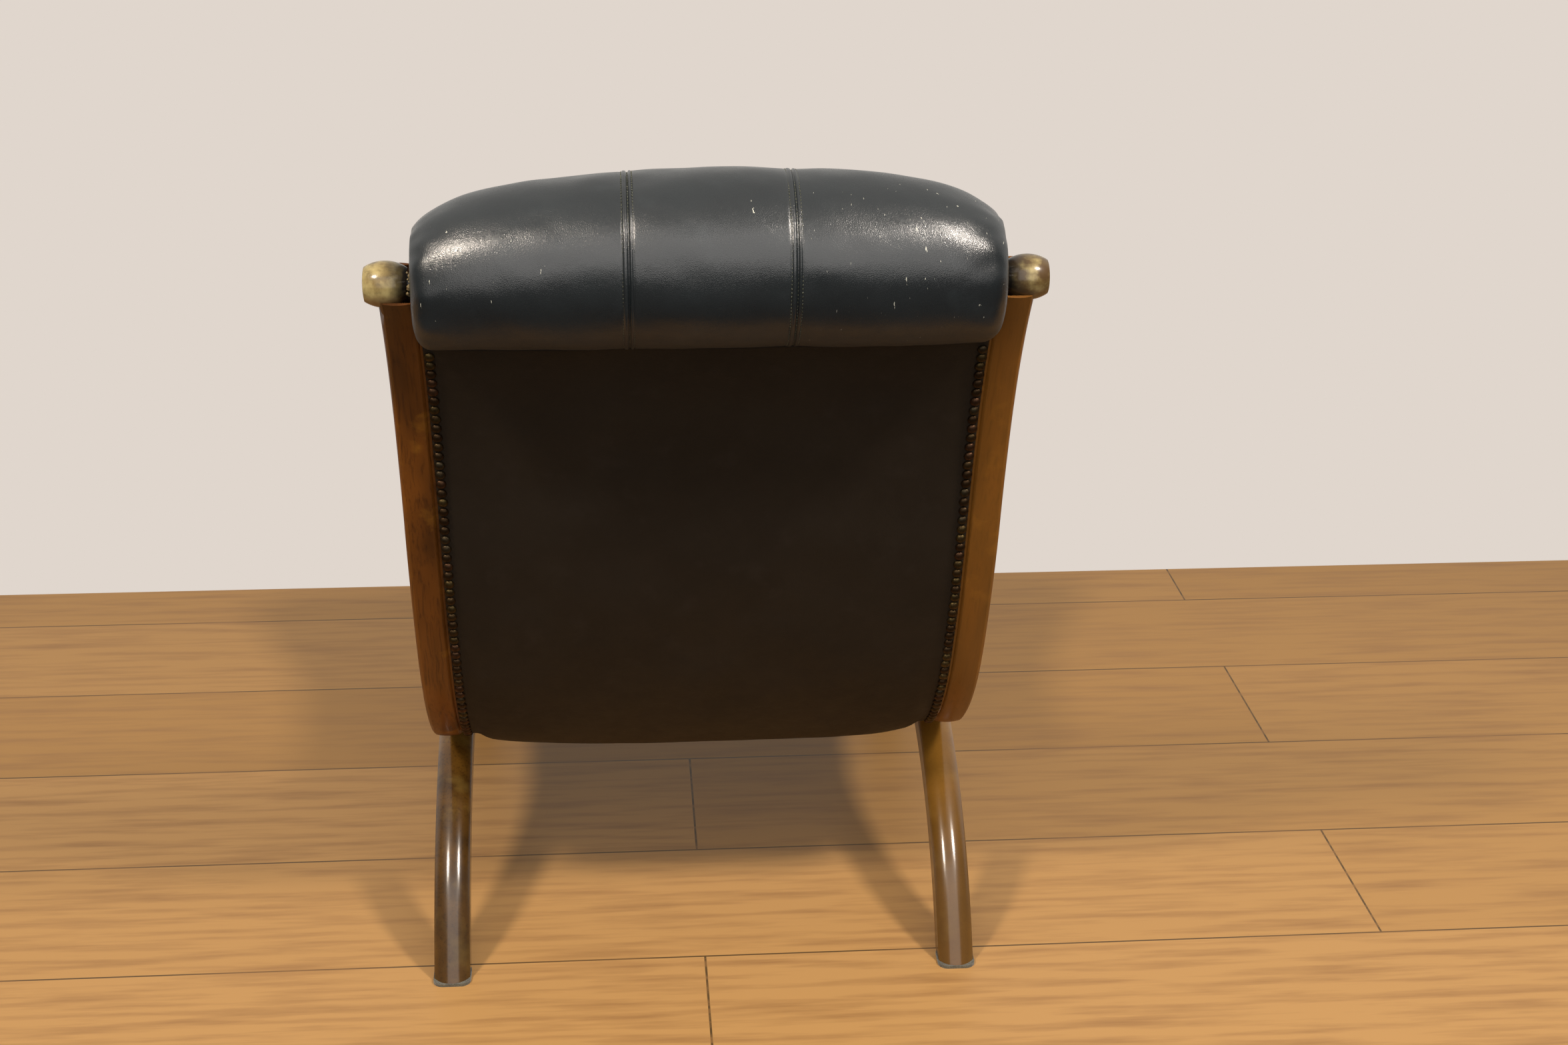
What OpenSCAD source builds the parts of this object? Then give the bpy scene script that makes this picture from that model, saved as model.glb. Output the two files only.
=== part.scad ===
// Scroll-back lounge chair on a fixed X frame, upholstered in leather.
// The front faces -Y, +X is the sitter's left, and the origin is on the floor under the middle.

/* [Side frames] */
// Width over the outer faces of the two side frames
frame_w = 540; // [500:5:580]
// Width of the polished wood seen beside the leather
show_w = 31; // [28:1:34]
// Width of the stepped ledge that the leather and webbing are fixed to
ledge_w = 30; // [28:1:32]
// How far the ledge lies below the polished wood, front and back
ledge_step = 4; // [3:0.5:5]
// Depth of the side rails, outer edge to inner edge
rail_depth = 44; // [42:1:48]
// Radius of the rails' rounded outer corners
rail_round = 9; // [5:1:10]
// Radius of the slight crown across the rails' edges
rail_crown_r = 46; // [40:2:90]

/* [Side curve, from the lowest point of the rail] */
// Distance of the rail's lowest point in front of the origin
low_y = 14.5; // [6:0.5:24]
// Radius of the nearly flat stretch under the seat
seat_r = 620; // [560:10:700]
// Part of that stretch behind the lowest point, in degrees
seat_back_a = 6.5; // [5.5:0.5:7.5]
// Part of that stretch in front of the lowest point, in degrees
seat_front_a = 13; // [11:0.5:15]
// Radius where the seat turns up into the back
heel_r = 130; // [120:5:150]
// Turn there, in degrees
heel_a = 33; // [30:1:35]
// Radius of the lower back
low_back_r = 290; // [270:5:320]
// Turn there, in degrees
low_back_a = 27; // [25:1:29]
// Radius of the middle of the back
mid_back_r = 880; // [800:20:980]
// Turn there, in degrees
mid_back_a = 11.5; // [10:0.5:13]
// Radius where the back starts to lean away
lean_r = 1020; // [900:20:1200]
// Turn there, in degrees
lean_a = 7; // [5:0.5:9]
// Radius of the backward curl under the knob
curl_r = 460; // [420:10:520]
// Turn there, in degrees
curl_a = 17; // [15:0.5:19]
// Radius where the seat rises to the front
rise_r = 300; // [280:5:330]
// Turn there, in degrees
rise_a = 36; // [33:1:38]
// Radius of the forward curl at the front end
nose_r = 160; // [150:5:180]
// Turn there, in degrees
nose_a = 24; // [20:1:27]

/* [Legs] */
// Clear height under the arch of the legs
arch_h = 168; // [150:2:190]
// Clear span of the arch at the floor
arch_span = 583; // [540:5:620]
// Distance of the middle of the arch in front of the origin
arch_y = 81.5; // [74:0.5:88]
// Depth of a leg, outer edge to inner edge
leg_depth = 29; // [27:0.5:32]
// Width of a leg
leg_w = 35; // [31:1:38]
// Height by which the side rail is let into the top of the arch
let_in = 10; // [9:0.5:12]
// Height of the stretcher's axis above the rails' lowest point
cross_rise = 18; // [16:1:20]
// Radius of the rounded outer face of a leg
leg_round_r = 21; // [20:0.5:30]
// Thickness of the felt pads under the feet
pad_t = 3; // [2:0.5:5]
// How far a felt pad stands out round the foot
pad_lip = 1; // [0.5:0.5:2]

/* [Knobs, bosses and stretcher] */
// Diameter of a knob at its middle
knob_d = 38.5; // [34:0.5:42]
// Length of a knob
knob_l = 37; // [33:0.5:41]
// Diameter of a knob at its ends
knob_end_d = 26.5; // [22:0.5:30]
// How far a knob stands out beyond the side frame
knob_out = 12.6; // [9:0.2:16]
// Diameter of the turned boss over each crossing
boss_d = 62; // [52:2:66]
// Thickness of the boss
boss_t = 9; // [6:1:12]
// Diameter of the stretcher at its middle
stretcher_d = 34; // [30:1:40]
// Diameter of the round tenons on the stretcher, bosses and knobs
tenon_d = 16; // [12:1:17]
// Depth of the stretcher's mortises
tenon_l = 24; // [18:1:28]
// Diameter of the round bars inside the two rolls
bar_d = 36; // [30:1:38]

/* [Frame boards and fixings] */
// Thickness of the cross boards
board_t = 22; // [18:1:25]
// Height of the cross boards
board_h = 58; // [50:1:66]
// Diameter of the dowels
dowel_d = 10; // [8:1:11]
// Length of the dowels
dowel_l = 50; // [40:2:54]
// Length of the short dowels between rails and legs
leg_dowel_l = 26; // [22:1:28]
// Width of a webbing strap
strap_w = 50; // [40:2:54]
// Thickness of a webbing strap
strap_t = 2.5; // [2:0.5:3]
// Diameter of a nail head
nail_d = 9.4; // [8:0.2:9.6]
// Height of a nail head
nail_h = 3; // [2:0.25:3.5]
// Spacing of the nails
nail_pitch = 10.2; // [10:0.2:14]

/* [Upholstery] */
// Radius of the roll on top of the back
roll_r = 74; // [70:1:78]
// Distance of the roll's middle inward of the knob's axis
roll_in = 15; // [12:1:18]
// Distance of the roll's middle beyond the knob's axis
roll_up = 11; // [8:1:14]
// Radius of the roll along the front of the seat
nose_roll_r = 46; // [42:1:50]
// Distance of the front roll's middle inward of the knob's axis
nose_roll_in = 12; // [10:1:14]
// Distance of the front roll's middle beyond the knob's axis
nose_roll_up = 4; // [2:1:6]
// Distance of the two stitched seams from the middle
seam_x = 67; // [58:1:76]
// Depth of the valley at a seam
seam_dip = 4; // [2:0.5:6]
// Thickness of cover and wadding round the roll cores
roll_wall = 12; // [10:1:14]
// Thickness of the inside back above the ledges
back_pad = 52; // [46:1:58]
// Thickness of the seat above the ledges at its front end
seat_front_pad = 40; // [36:1:44]
// How far the top of the seat dips below a straight line
seat_sag = 32; // [24:1:40]
// How far the padded covers stop short of the polished wood
pad_inset = 3; // [2:0.5:5]
// Thickness of the leather
hide_t = 1.6; // [1.2:0.2:2]
// Fullness of the outside back at its bottom
back_belly = 15; // [8:1:18]

/* [Clearances] */
// Gap between parts that seat on each other
seat_gap = 0.2; // [0.1:0.05:0.3]
// Gap all round a dowel or tenon in its bore
bore_gap = 0.1; // [0.05:0.05:0.2]
// Gap at the bottom of a bore
end_gap = 0.5; // [0.3:0.1:0.8]
// Gap between upholstery and its neighbours
soft_gap = 0.3; // [0.2:0.05:0.5]
// Gap between the end of a roll and the knob beside it
roll_knob_gap = 4.6; // [3.6:0.2:5.6]
// Gap between the leather panels and the polished wood
panel_gap = 0.5; // [0.4:0.1:0.8]
// Gap between the nail heads and the polished wood
nail_gap = 0.6; // [0.5:0.1:0.8]
// Gap between a cross board and the roll above it
board_roll_gap = 6; // [4:1:8]

/* [Hidden] */
$fn = 96;
fine_fn = 360;

// Colours as the photograph shows them.
wood = [0.43, 0.26, 0.13];
leg_wood = [0.33, 0.22, 0.12];
knob_wood = [0.42, 0.38, 0.22];
leather = [0.16, 0.18, 0.20];
brass = [0.47, 0.39, 0.25];
beech = [0.76, 0.63, 0.45];
foam = [0.85, 0.80, 0.62];
jute = [0.62, 0.52, 0.36];
felt = [0.45, 0.44, 0.36];
cambric = [0.12, 0.12, 0.12];

// The side curve runs outward from the rail's lowest point, along its outer edge. Each stretch is
// [radius, turn]. A positive turn bends towards the sitter, a negative one away.
back_curve = [[seat_r, seat_back_a], [heel_r, heel_a], [low_back_r, low_back_a],
              [mid_back_r, mid_back_a], [lean_r, -lean_a], [curl_r, -curl_a]];
front_curve = [[seat_r, seat_front_a], [rise_r, rise_a], [nose_r, -nose_a]];
low_z = arch_h + leg_depth - let_in;

function turn_sign(stretch) = sign(stretch[1]);
function stretch_len(stretch) = stretch[0] * abs(stretch[1]) * PI / 180;
function curve_len(curve, i = 0) =
    i == len(curve) ? 0 : stretch_len(curve[i]) + curve_len(curve, i + 1);
function inward(h) = [-sin(h), cos(h)];
function onward(h) = [cos(h), sin(h)];
// The point after following one stretch from point p at heading h, turning by a.
function bend(p, h, radius, a) =
    p + sign(a) * radius * (inward(h) - inward(h + a));
// [point, heading] at distance s along a curve.
function station(curve, s, p = [0, 0], h = 0, i = 0) =
    let (stretch = curve[i], run = stretch_len(stretch))
    s > run && i < len(curve) - 1
        ? station(curve, s - run, bend(p, h, stretch[0], stretch[1]), h + stretch[1], i + 1)
        : let (a = turn_sign(stretch) * s / stretch[0] * 180 / PI)
          [a == 0 ? p : bend(p, h, stretch[0], a), h + a];
// A point at distance s along the curve, and depth d inward of it.
function inside(curve, s, d) =
    let (at = station(curve, s))
    at[0] + d * inward(at[1]);
// The same curve, drawn at depth d.
function deeper(curve, d) = [for (g = curve) [g[0] - turn_sign(g) * d, g[1]]];
// The radius of the stretch that station s lies on, negative where it bends away.
function radius_at(curve, s, i = 0) =
    let (run = stretch_len(curve[i]))
    s > run && i < len(curve) - 1
        ? radius_at(curve, s - run, i + 1)
        : curve[i][0] * turn_sign(curve[i]);

back_len = curve_len(back_curve);
front_len = curve_len(front_curve);
back_end = station(back_curve, back_len);
front_end = station(front_curve, front_len);
back_joint = stretch_len(back_curve[0]);

half_w = frame_w / 2;
show_in = half_w - show_w;
rail_in = show_in - ledge_w;
knob_r = knob_d / 2;
knob_in = half_w + knob_out - knob_l;
roll_half = knob_in - roll_knob_gap;
pad_half = show_in - pad_inset;
bore_r = tenon_d / 2 + bore_gap;
back_knob_at = back_end[0] + rail_depth / 2 * inward(back_end[1]);
front_knob_at = front_end[0] + rail_depth / 2 * inward(front_end[1]);

arch_in_r = (pow(arch_span / 2, 2) + pow(arch_h, 2)) / (2 * arch_h);
arch_out_r = arch_in_r + leg_depth;
arch_z = arch_h - arch_in_r;
cross_z = low_z + cross_rise;
foot_in = sqrt(pow(arch_in_r, 2) - pow(arch_z - pad_t, 2));
foot_out = sqrt(pow(arch_out_r, 2) - pow(arch_z - pad_t, 2));
dowel_r = dowel_d / 2;
dowel_hole_r = dowel_r + bore_gap;
dowel_spread = board_h - 3 * dowel_d;
rail_mid = rail_depth / 2;
board_set_in = 2;
board_depth = ledge_step + board_t / 2 + board_set_in;
boss_tenon_l = 12;
leg_mid = half_w - leg_w / 2;
leg_dowel_out = [-19, 22, 52];
leg_dowel_rise = 2;
ledge_depth = rail_depth - ledge_step;

// Barrel and end dome of a knob.
knob_barrel_r = (pow(knob_l / 2, 2) + pow((knob_d - knob_end_d) / 2, 2)) / (knob_d - knob_end_d);
knob_dome_r = 60;

back_roll_at = back_knob_at + roll_in * inward(back_end[1]) + roll_up * onward(back_end[1]);
front_roll_at = front_knob_at + nose_roll_in * inward(front_end[1])
    + nose_roll_up * onward(front_end[1]);
roll_end_wall = 8;
bar_half = roll_half - roll_end_wall - soft_gap;
spigot_l = knob_in - bar_half + tenon_l;
stretcher_bead = 5;
stretcher_neck = 10;
block_t = 16;
block_l = 30;
block_nose = 9;
block_rise = 3;
pad_corner_r = 10;

// The two rails' own stretches: the butt joint lies at the heel.
post_start = station(back_curve, back_joint);
post_curve = [for (i = [1 : len(back_curve) - 1]) back_curve[i]];
rail_start = [[-post_start[0][0], post_start[0][1]], -seat_back_a];
rail_curve = [[seat_r, seat_back_a + seat_front_a], front_curve[1], front_curve[2]];
heel_len = stretch_len(back_curve[1]);
seat_front_len = stretch_len(front_curve[0]);
rise_len = stretch_len(front_curve[1]);
// [middle, length] of the strips that bed the rail into the legs.
bed_lap = 0.5;
bed_stations_back = [[back_joint / 2, back_joint + bed_lap],
                     [back_joint + heel_len / 2, heel_len + bed_lap]];
bed_stations_front = [[seat_front_len / 2, seat_front_len + bed_lap],
                      [seat_front_len + rise_len / 2, rise_len + bed_lap]];

// Where the soft parts begin and end. The inside back and the seat meet in the tuck, and both run
// up to the neck of a roll, at the station whose plane just touches the roll.
tuck_s = back_joint + heel_len + stretch_len(back_curve[2]) * 0.8;
function neck_station(curve, centre, r, low, high) =
    high - low < 0.01
        ? low
        : let (mid = (low + high) / 2, at = station(curve, mid))
          (centre - at[0]) * onward(at[1]) > r + soft_gap
              ? neck_station(curve, centre, r, mid, high)
              : neck_station(curve, centre, r, low, mid);
back_neck_s = neck_station(back_curve, back_roll_at, roll_r, tuck_s, back_len);
front_neck_s = neck_station(front_curve, front_roll_at, nose_roll_r, seat_front_len, front_len);

// Where each cross board crosses the side curve.
board_clear = board_h / 2 + board_roll_gap;
upper_board_s = back_neck_s - board_clear;
tuck_drop = 6;
lower_board_s = tuck_s - tuck_drop;
rear_board_s = -5;
front_board_gap = 2;
front_board_s = seat_front_len + board_h / 2 + front_board_gap;

strap_lap = 12;
strap_half = rail_in + strap_lap;
back_straps = 4;
rear_straps = 3;
front_straps = 5;
seat_strap_step = 66;

// Draws its children in side view: x runs to the back, y up, and z is the distance from the middle.
module side() {
    rotate([90, 0, 90]) children();
}

// Side view with its origin at the rail's lowest point, seen towards the back.
module to_back() {
    translate([0, -low_y, low_z]) side() children();
}

// The same towards the front.
module to_front() {
    translate([0, -low_y, low_z]) side() mirror([1, 0, 0]) children();
}

module on_right() {
    mirror([1, 0, 0]) children();
}

module both_sides() {
    children();
    on_right() children();
}

// Sweeps a section, drawn as [depth, distance from the middle], along the stretches of a curve.
// Every second stretch is a hair slimmer and laps into its neighbours, so that all join into one.
module sweep_rail(curve, p = [0, 0], h = 0, i = 0) {
    stretch = curve[i];
    bends_in = turn_sign(stretch) > 0;
    slim = i % 2 == 1 ? splice_slim : 0;
    lap_a = i % 2 == 1 ? splice_lap / stretch[0] * 180 / PI : 0;
    translate(p + turn_sign(stretch) * stretch[0] * inward(h))
        rotate([0, 0, (bends_in ? h - 90 : h + 90 + stretch[1]) - lap_a])
            rotate_extrude(angle = abs(stretch[1]) + 2 * lap_a, $fn = fine_fn)
                translate([stretch[0], 0])
                    mirror([bends_in ? 1 : 0, 0]) rail_section(slim);
    if (i < len(curve) - 1)
        sweep_rail(curve, bend(p, h, stretch[0], stretch[1]), h + stretch[1], i + 1);
}
splice_slim = 0.06;
splice_lap = 2;

// A plain strip of the given section, bent round the curve for a length about station s.
module bent_strip(curve, s, length, low, high, from, to) {
    r = radius_at(curve, s);
    a = length / abs(r) * 180 / PI;
    at_station(curve, s)
        translate([0, r, 0])
            rotate([0, 0, (r > 0 ? -90 : 90) - a / 2])
                rotate_extrude(angle = a, $fn = fine_fn)
                    translate([r > 0 ? r - high : -r + low, from]) square([high - low, to - from]);
}

// Places its children at distance s and depth d on a curve: x onward, y inward.
module at_station(curve, s, d = 0) {
    at = station(curve, s);
    translate(at[0] + d * inward(at[1])) rotate([0, 0, at[1]]) children();
}

module rounded_box_2d(size, r) {
    translate([r, 0]) square([size[0] - 2 * r, size[1]]);
    translate([0, r]) square([size[0], size[1] - 2 * r]);
    for (x = [r, size[0] - r], y = [r, size[1] - r])
        translate([x, y]) circle(r);
}

// Section of a side rail: the polished part, crowned on both edges, and the ledge beside it.
module rail_section(slim = 0) {
    middle = show_in + show_w / 2;
    crown_r = rail_crown_r - slim;
    intersection() {
        translate([slim, show_in + slim])
            rounded_box_2d([rail_depth - 2 * slim, show_w - 2 * slim], rail_round);
        translate([rail_crown_r, middle]) circle(crown_r, $fn = fine_fn);
        translate([rail_depth - rail_crown_r, middle]) circle(crown_r, $fn = fine_fn);
    }
    translate([ledge_step + slim, rail_in + slim])
        square([rail_depth - 2 * ledge_step - 2 * slim, ledge_w + show_w / 2]);
}

// Two dowels side by side along x, drawn along z about their middle.
module dowel_pair(spread, r, l) {
    for (x = [-spread / 2, spread / 2])
        translate([x, 0, -l / 2]) cylinder(r = r, h = l);
}

// Dowels, or their holes, at the left ends of the boards on the back curve.
module back_board_dowels(r, l) {
    for (s = [upper_board_s, lower_board_s])
        at_station(back_curve, s, board_depth)
            translate([0, 0, rail_in]) dowel_pair(dowel_spread, r, l);
}

// The same for the boards under the seat.
module rear_board_dowels(r, l) {
    at_station(back_curve, rear_board_s, board_depth)
        translate([0, 0, rail_in]) dowel_pair(dowel_spread, r, l);
}

module front_board_dowels(r, l) {
    at_station(front_curve, front_board_s, board_depth)
        translate([0, 0, rail_in]) dowel_pair(dowel_spread, r, l);
}

// Two dowels across the butt joint of back post and seat rail.
module joint_dowels(r, l) {
    at_station(back_curve, back_joint, rail_mid)
        for (z = [rail_in + ledge_w / 2, half_w - show_w / 2])
            translate([-l / 2, 0, z]) rotate([0, 90, 0]) cylinder(r = r, h = l);
}

// Upright dowels between a side rail and the tops of the two legs, in model space.
module leg_dowels(r, l) {
    for (out = leg_dowel_out)
        translate([leg_mid, out - arch_y, low_z + leg_dowel_rise - l / 2]) cylinder(r = r, h = l);
}

// A dowel from the end of a rail up into its knob.
module knob_dowel(curve, r, l) {
    at_station(curve, curve_len(curve), rail_mid)
        translate([knob_r / 2 - l, 0, show_in + show_w / 2]) rotate([0, 90, 0])
            cylinder(r = r, h = l);
}

// Space kept for a roll, which a rail passes only outside the roll's end.
module roll_space(centre, r) {
    translate([centre[0], centre[1], 0]) cylinder(r = r + seat_gap, h = roll_half + seat_gap);
}

module knob_saddle(centre) {
    translate([centre[0], centre[1], show_in - 1])
        cylinder(r = knob_r + seat_gap, h = show_w + 2);
}

module back_post() {
    color(wood) difference() {
        to_back() sweep_rail(post_curve, post_start[0], post_start[1]);
        to_back() {
            roll_space(back_roll_at, roll_r);
            knob_saddle(back_knob_at);
            back_board_dowels(dowel_hole_r, dowel_l + 2 * end_gap);
            joint_dowels(dowel_hole_r, dowel_l + 2 * end_gap);
            knob_dowel(back_curve, dowel_hole_r, dowel_l + end_gap);
        }
    }
}

module seat_rail() {
    color(wood) difference() {
        to_front() sweep_rail(rail_curve, rail_start[0], rail_start[1]);
        to_back() {
            joint_dowels(dowel_hole_r, dowel_l + 2 * end_gap);
            rear_board_dowels(dowel_hole_r, dowel_l + 2 * end_gap);
        }
        to_front() {
            roll_space(front_roll_at, nose_roll_r);
            knob_saddle(front_knob_at);
            front_board_dowels(dowel_hole_r, dowel_l + 2 * end_gap);
            knob_dowel(front_curve, dowel_hole_r, dowel_l + end_gap);
        }
        at_crossing() {
            translate([0, 0, rail_in - 1]) cylinder(r = bore_r, h = tenon_l + end_gap + 1);
            translate([0, 0, half_w - boss_tenon_l - end_gap])
                cylinder(r = bore_r, h = boss_tenon_l + end_gap + 1);
        }
        leg_dowels(dowel_hole_r, leg_dowel_l + 2 * end_gap);
    }
}

// Side view centred on the crossing of rail and arch.
module at_crossing() {
    translate([0, -arch_y, cross_z]) side() children();
}

// Section of a leg: flat sides, a well rounded outer face and a slightly crowned inner one.
module leg_section() {
    side_in = half_w - leg_w;
    intersection() {
        translate([arch_in_r, side_in]) square([leg_depth, leg_w]);
        translate([arch_out_r - leg_round_r, leg_mid]) circle(leg_round_r);
    }
    intersection() {
        translate([arch_in_r, side_in]) square([leg_depth - leg_round_r, leg_w]);
        translate([arch_in_r + leg_w, leg_mid]) circle(leg_w, $fn = fine_fn);
    }
}

// One half of an arch, rear (way = 1) or front (way = -1): a part of a ring, cut off at the felt
// pad and bedded on top to take the side rail.
module leg(way) {
    foot_a = asin((pad_t - arch_z) / arch_out_r) - 3;
    color(leg_wood) difference() {
        translate([0, -arch_y, arch_z]) mirror([0, way < 0 ? 1 : 0, 0]) side()
            rotate([0, 0, foot_a])
                rotate_extrude(angle = 90 - foot_a, $fn = fine_fn) leg_section();
        translate([0, -arch_y - arch_out_r, -arch_out_r])
            cube([frame_w, 2 * arch_out_r, arch_out_r + pad_t]);
        to_back() for (s = bed_stations_back)
            bent_strip(back_curve, s[0], s[1], -seat_gap, rail_depth, leg_mid - leg_w, half_w + 1);
        to_front() for (s = bed_stations_front)
            bent_strip(front_curve, s[0], s[1], -seat_gap, rail_depth, leg_mid - leg_w, half_w + 1);
        leg_dowels(dowel_hole_r, leg_dowel_l + 2 * end_gap);
    }
}

// A turned knob along z, with the spigot that carries the end of the bar inside the roll.
module knob() {
    rotate_extrude() {
        intersection() {
            square([knob_r, knob_l]);
            translate([knob_r - knob_barrel_r, knob_l / 2]) circle(knob_barrel_r, $fn = fine_fn);
            translate([0, knob_l - knob_dome_r]) circle(knob_dome_r, $fn = fine_fn);
        }
        translate([0, -spigot_l]) square([tenon_d / 2, spigot_l + 1]);
    }
}

module back_knob() {
    color(knob_wood) to_back() difference() {
        translate([back_knob_at[0], back_knob_at[1], knob_in]) knob();
        knob_dowel(back_curve, dowel_hole_r, dowel_l + end_gap);
    }
}

module front_knob() {
    color(knob_wood) to_front() difference() {
        translate([front_knob_at[0], front_knob_at[1], knob_in]) knob();
        knob_dowel(front_curve, dowel_hole_r, dowel_l + end_gap);
    }
}

// Turned boss: a tenon, a rounded rim, a hollow and a button in the middle.
module boss() {
    rim = boss_d / 2;
    bead = boss_t / 2;
    color(wood) at_crossing() translate([0, 0, half_w + seat_gap]) rotate_extrude() {
        translate([0, -boss_tenon_l]) square([tenon_d / 2, boss_tenon_l + 1]);
        square([rim - bead, bead]);
        translate([rim - bead, 0]) intersection() {
            translate([-bead, 0]) square([2 * bead, bead * 2]);
            translate([0, bead]) circle(bead);
        }
        translate([rim - bead, 0]) square([bead * 0.9, bead]);
        difference() {
            square([rim * 0.42, boss_t]);
            translate([rim * 0.42, boss_t]) circle(bead * 0.8);
        }
    }
}

// Turned stretcher between the crossings, thickest in the middle, with a bead near each end.
module stretcher() {
    r = stretcher_d / 2;
    neck = r * 0.62;
    body_half = rail_in - seat_gap - 2 * stretcher_bead - stretcher_neck;
    collar = stretcher_bead * 1.2;
    color(wood) at_crossing() {
        translate([0, 0, -rail_in - tenon_l]) cylinder(r = tenon_d / 2, h = 2 * (rail_in + tenon_l));
        translate([0, 0, seat_gap - rail_in]) cylinder(r = neck, h = 2 * (rail_in - seat_gap));
        rotate_extrude() translate([r - 2, 0]) circle(stretcher_bead);
        for (way = [-1, 1]) {
            mirror([0, 0, way < 0 ? 1 : 0]) cylinder(r1 = r, r2 = neck + 0.8, h = body_half);
            rotate_extrude() translate([neck + 2, way * (body_half + stretcher_bead)])
                circle(stretcher_bead);
            translate([0, 0, way * (rail_in - seat_gap - collar / 2) - collar / 2])
                cylinder(r = r * 0.95, h = collar);
        }
    }
}

// Round bar inside a roll, bored at both ends for the knobs' spigots.
module roll_bar(centre) {
    color(beech) translate([centre[0], centre[1], 0]) difference() {
        translate([0, 0, -bar_half]) cylinder(r = bar_d / 2, h = 2 * bar_half);
        for (way = [-1, 1])
            translate([0, 0, way * (bar_half - tenon_l / 2) - tenon_l / 2 - end_gap])
                cylinder(r = bore_r, h = tenon_l + 2 * end_gap);
    }
}

// Cross board at station s of a curve, dowelled into both sides.
module cross_board(curve, s) {
    color(beech) at_station(curve, s, board_depth) difference() {
        translate([-board_h / 2, -board_t / 2, seat_gap - rail_in])
            cube([board_h, board_t, 2 * (rail_in - seat_gap)]);
        for (way = [-1, 1])
            translate([0, 0, way * rail_in])
                dowel_pair(dowel_spread, dowel_hole_r, dowel_l + 2 * end_gap);
    }
}

// Glue block in the corner of a board and the left rail.
module corner_block(curve, s, way) {
    at_station(curve, s, board_depth) mirror([way < 0 ? 1 : 0, 0, 0])
        translate([board_h / 2 + seat_gap, -block_t / 2 + block_rise, 0]) rotate([-90, 0, 0])
            linear_extrude(block_t) polygon([[0, seat_gap - rail_in], [block_l, seat_gap - rail_in],
                [block_l, seat_gap + block_nose - rail_in], [block_nose, block_l - rail_in],
                [0, block_l - rail_in]]);
}

module corner_blocks() {
    color(beech) both_sides() {
        to_front() corner_block(front_curve, front_board_s, -1);
        to_back() corner_block(back_curve, rear_board_s, 1);
    }
}

module board_dowels() {
    color(beech) both_sides() {
        to_back() back_board_dowels(dowel_r, dowel_l);
        to_back() rear_board_dowels(dowel_r, dowel_l);
        to_front() front_board_dowels(dowel_r, dowel_l);
    }
}

module frame_dowels() {
    color(beech) both_sides() {
        to_back() joint_dowels(dowel_r, dowel_l);
        to_back() knob_dowel(back_curve, dowel_r, dowel_l - end_gap);
        to_front() knob_dowel(front_curve, dowel_r, dowel_l - end_gap);
        leg_dowels(dowel_r, leg_dowel_l);
    }
}

module foot_pads() {
    color(felt) for (side_way = [-1, 1], way = [-1, 1])
        translate([side_way * leg_mid, way * (foot_in + foot_out) / 2 - arch_y, 0])
            linear_extrude(pad_t)
                translate([-leg_w / 2 - pad_lip, (foot_in - foot_out) / 2 - pad_lip])
                    rounded_box_2d([leg_w + 2 * pad_lip, foot_out - foot_in + 2 * pad_lip],
                                   pad_corner_r);
}

module webbing_strap(curve, s) {
    bent_strip(curve, s, strap_w, ledge_depth, ledge_depth + strap_t, -strap_half, strap_half);
}

module back_webbing() {
    step = (upper_board_s - lower_board_s) / (back_straps + 1);
    color(jute) to_back() for (i = [1 : back_straps])
        webbing_strap(back_curve, lower_board_s + i * step);
}

module seat_webbing() {
    color(jute) {
        to_back() for (i = [0 : rear_straps - 1])
            webbing_strap(back_curve, (i + 0.5) * seat_strap_step);
        to_front() for (i = [0 : front_straps - 1])
            webbing_strap(front_curve, (i + 0.5) * seat_strap_step);
    }
}

// Points along a curve between stations s0 and s1, close enough to follow its bends.
function marks(curve, s0, s1, i = 0, s = 0) =
    i == len(curve)
        ? [s1]
        : let (run = stretch_len(curve[i]),
               n = max(ceil(abs(curve[i][1]) / mark_a), ceil(run / mark_run)))
          concat(i == 0 ? [s0] : [],
                 [for (k = [0 : n - 1])
                      let (m = s + run * k / n)
                      if (m > s0 + mark_run / 4 && m < s1 - mark_run / 4) m],
                 marks(curve, s0, s1, i + 1, s + run));
mark_a = 5.5;
mark_run = 34;

// Skins a tube or bar through rings of points. Closed rings run on from the last to the first.
module skin(rings, closed = false) {
    n = len(rings[0]);
    m = len(rings);
    points = [for (ring = rings, p = ring) p];
    walls = [for (j = [0 : m - (closed ? 1 : 2)], i = [0 : n - 1], half = [0, 1])
                 let (a = j * n + i, b = j * n + (i + 1) % n,
                      c = ((j + 1) % m) * n + i, d = ((j + 1) % m) * n + (i + 1) % n)
                 half == 0 ? [a, b, c] : [b, d, c]];
    ends = closed ? [] : [[for (i = [n - 1 : -1 : 0]) i], [for (i = [0 : n - 1]) (m - 1) * n + i]];
    polyhedron(points, concat(walls, ends));
}

function lifted(base, top, w, h) = let (p = base + h * (top - base) / norm(top - base)) [p[0], p[1], w];
function both_ways(half) =
    concat(half, [for (i = [len(half) - 1 : -1 : 0]) if (half[i][0] > 0) [-half[i][0], half[i][1]]]);

// How much lower a pad's top is at distance w from the middle: valleys at the two seams, and a
// rounded fall at the edge.
function pad_drop(w, half) =
    w < seam_x
        ? seam_dip * pow(w / seam_x, 4)
        : let (v = (2 * w - half - seam_x) / (half - seam_x))
          v < 0 ? seam_dip * pow(v, 4) : edge_drop * pow(v, 3);
edge_drop = 15;
pad_in = show_in - 11;
foam_half = rail_in + 13;

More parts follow.
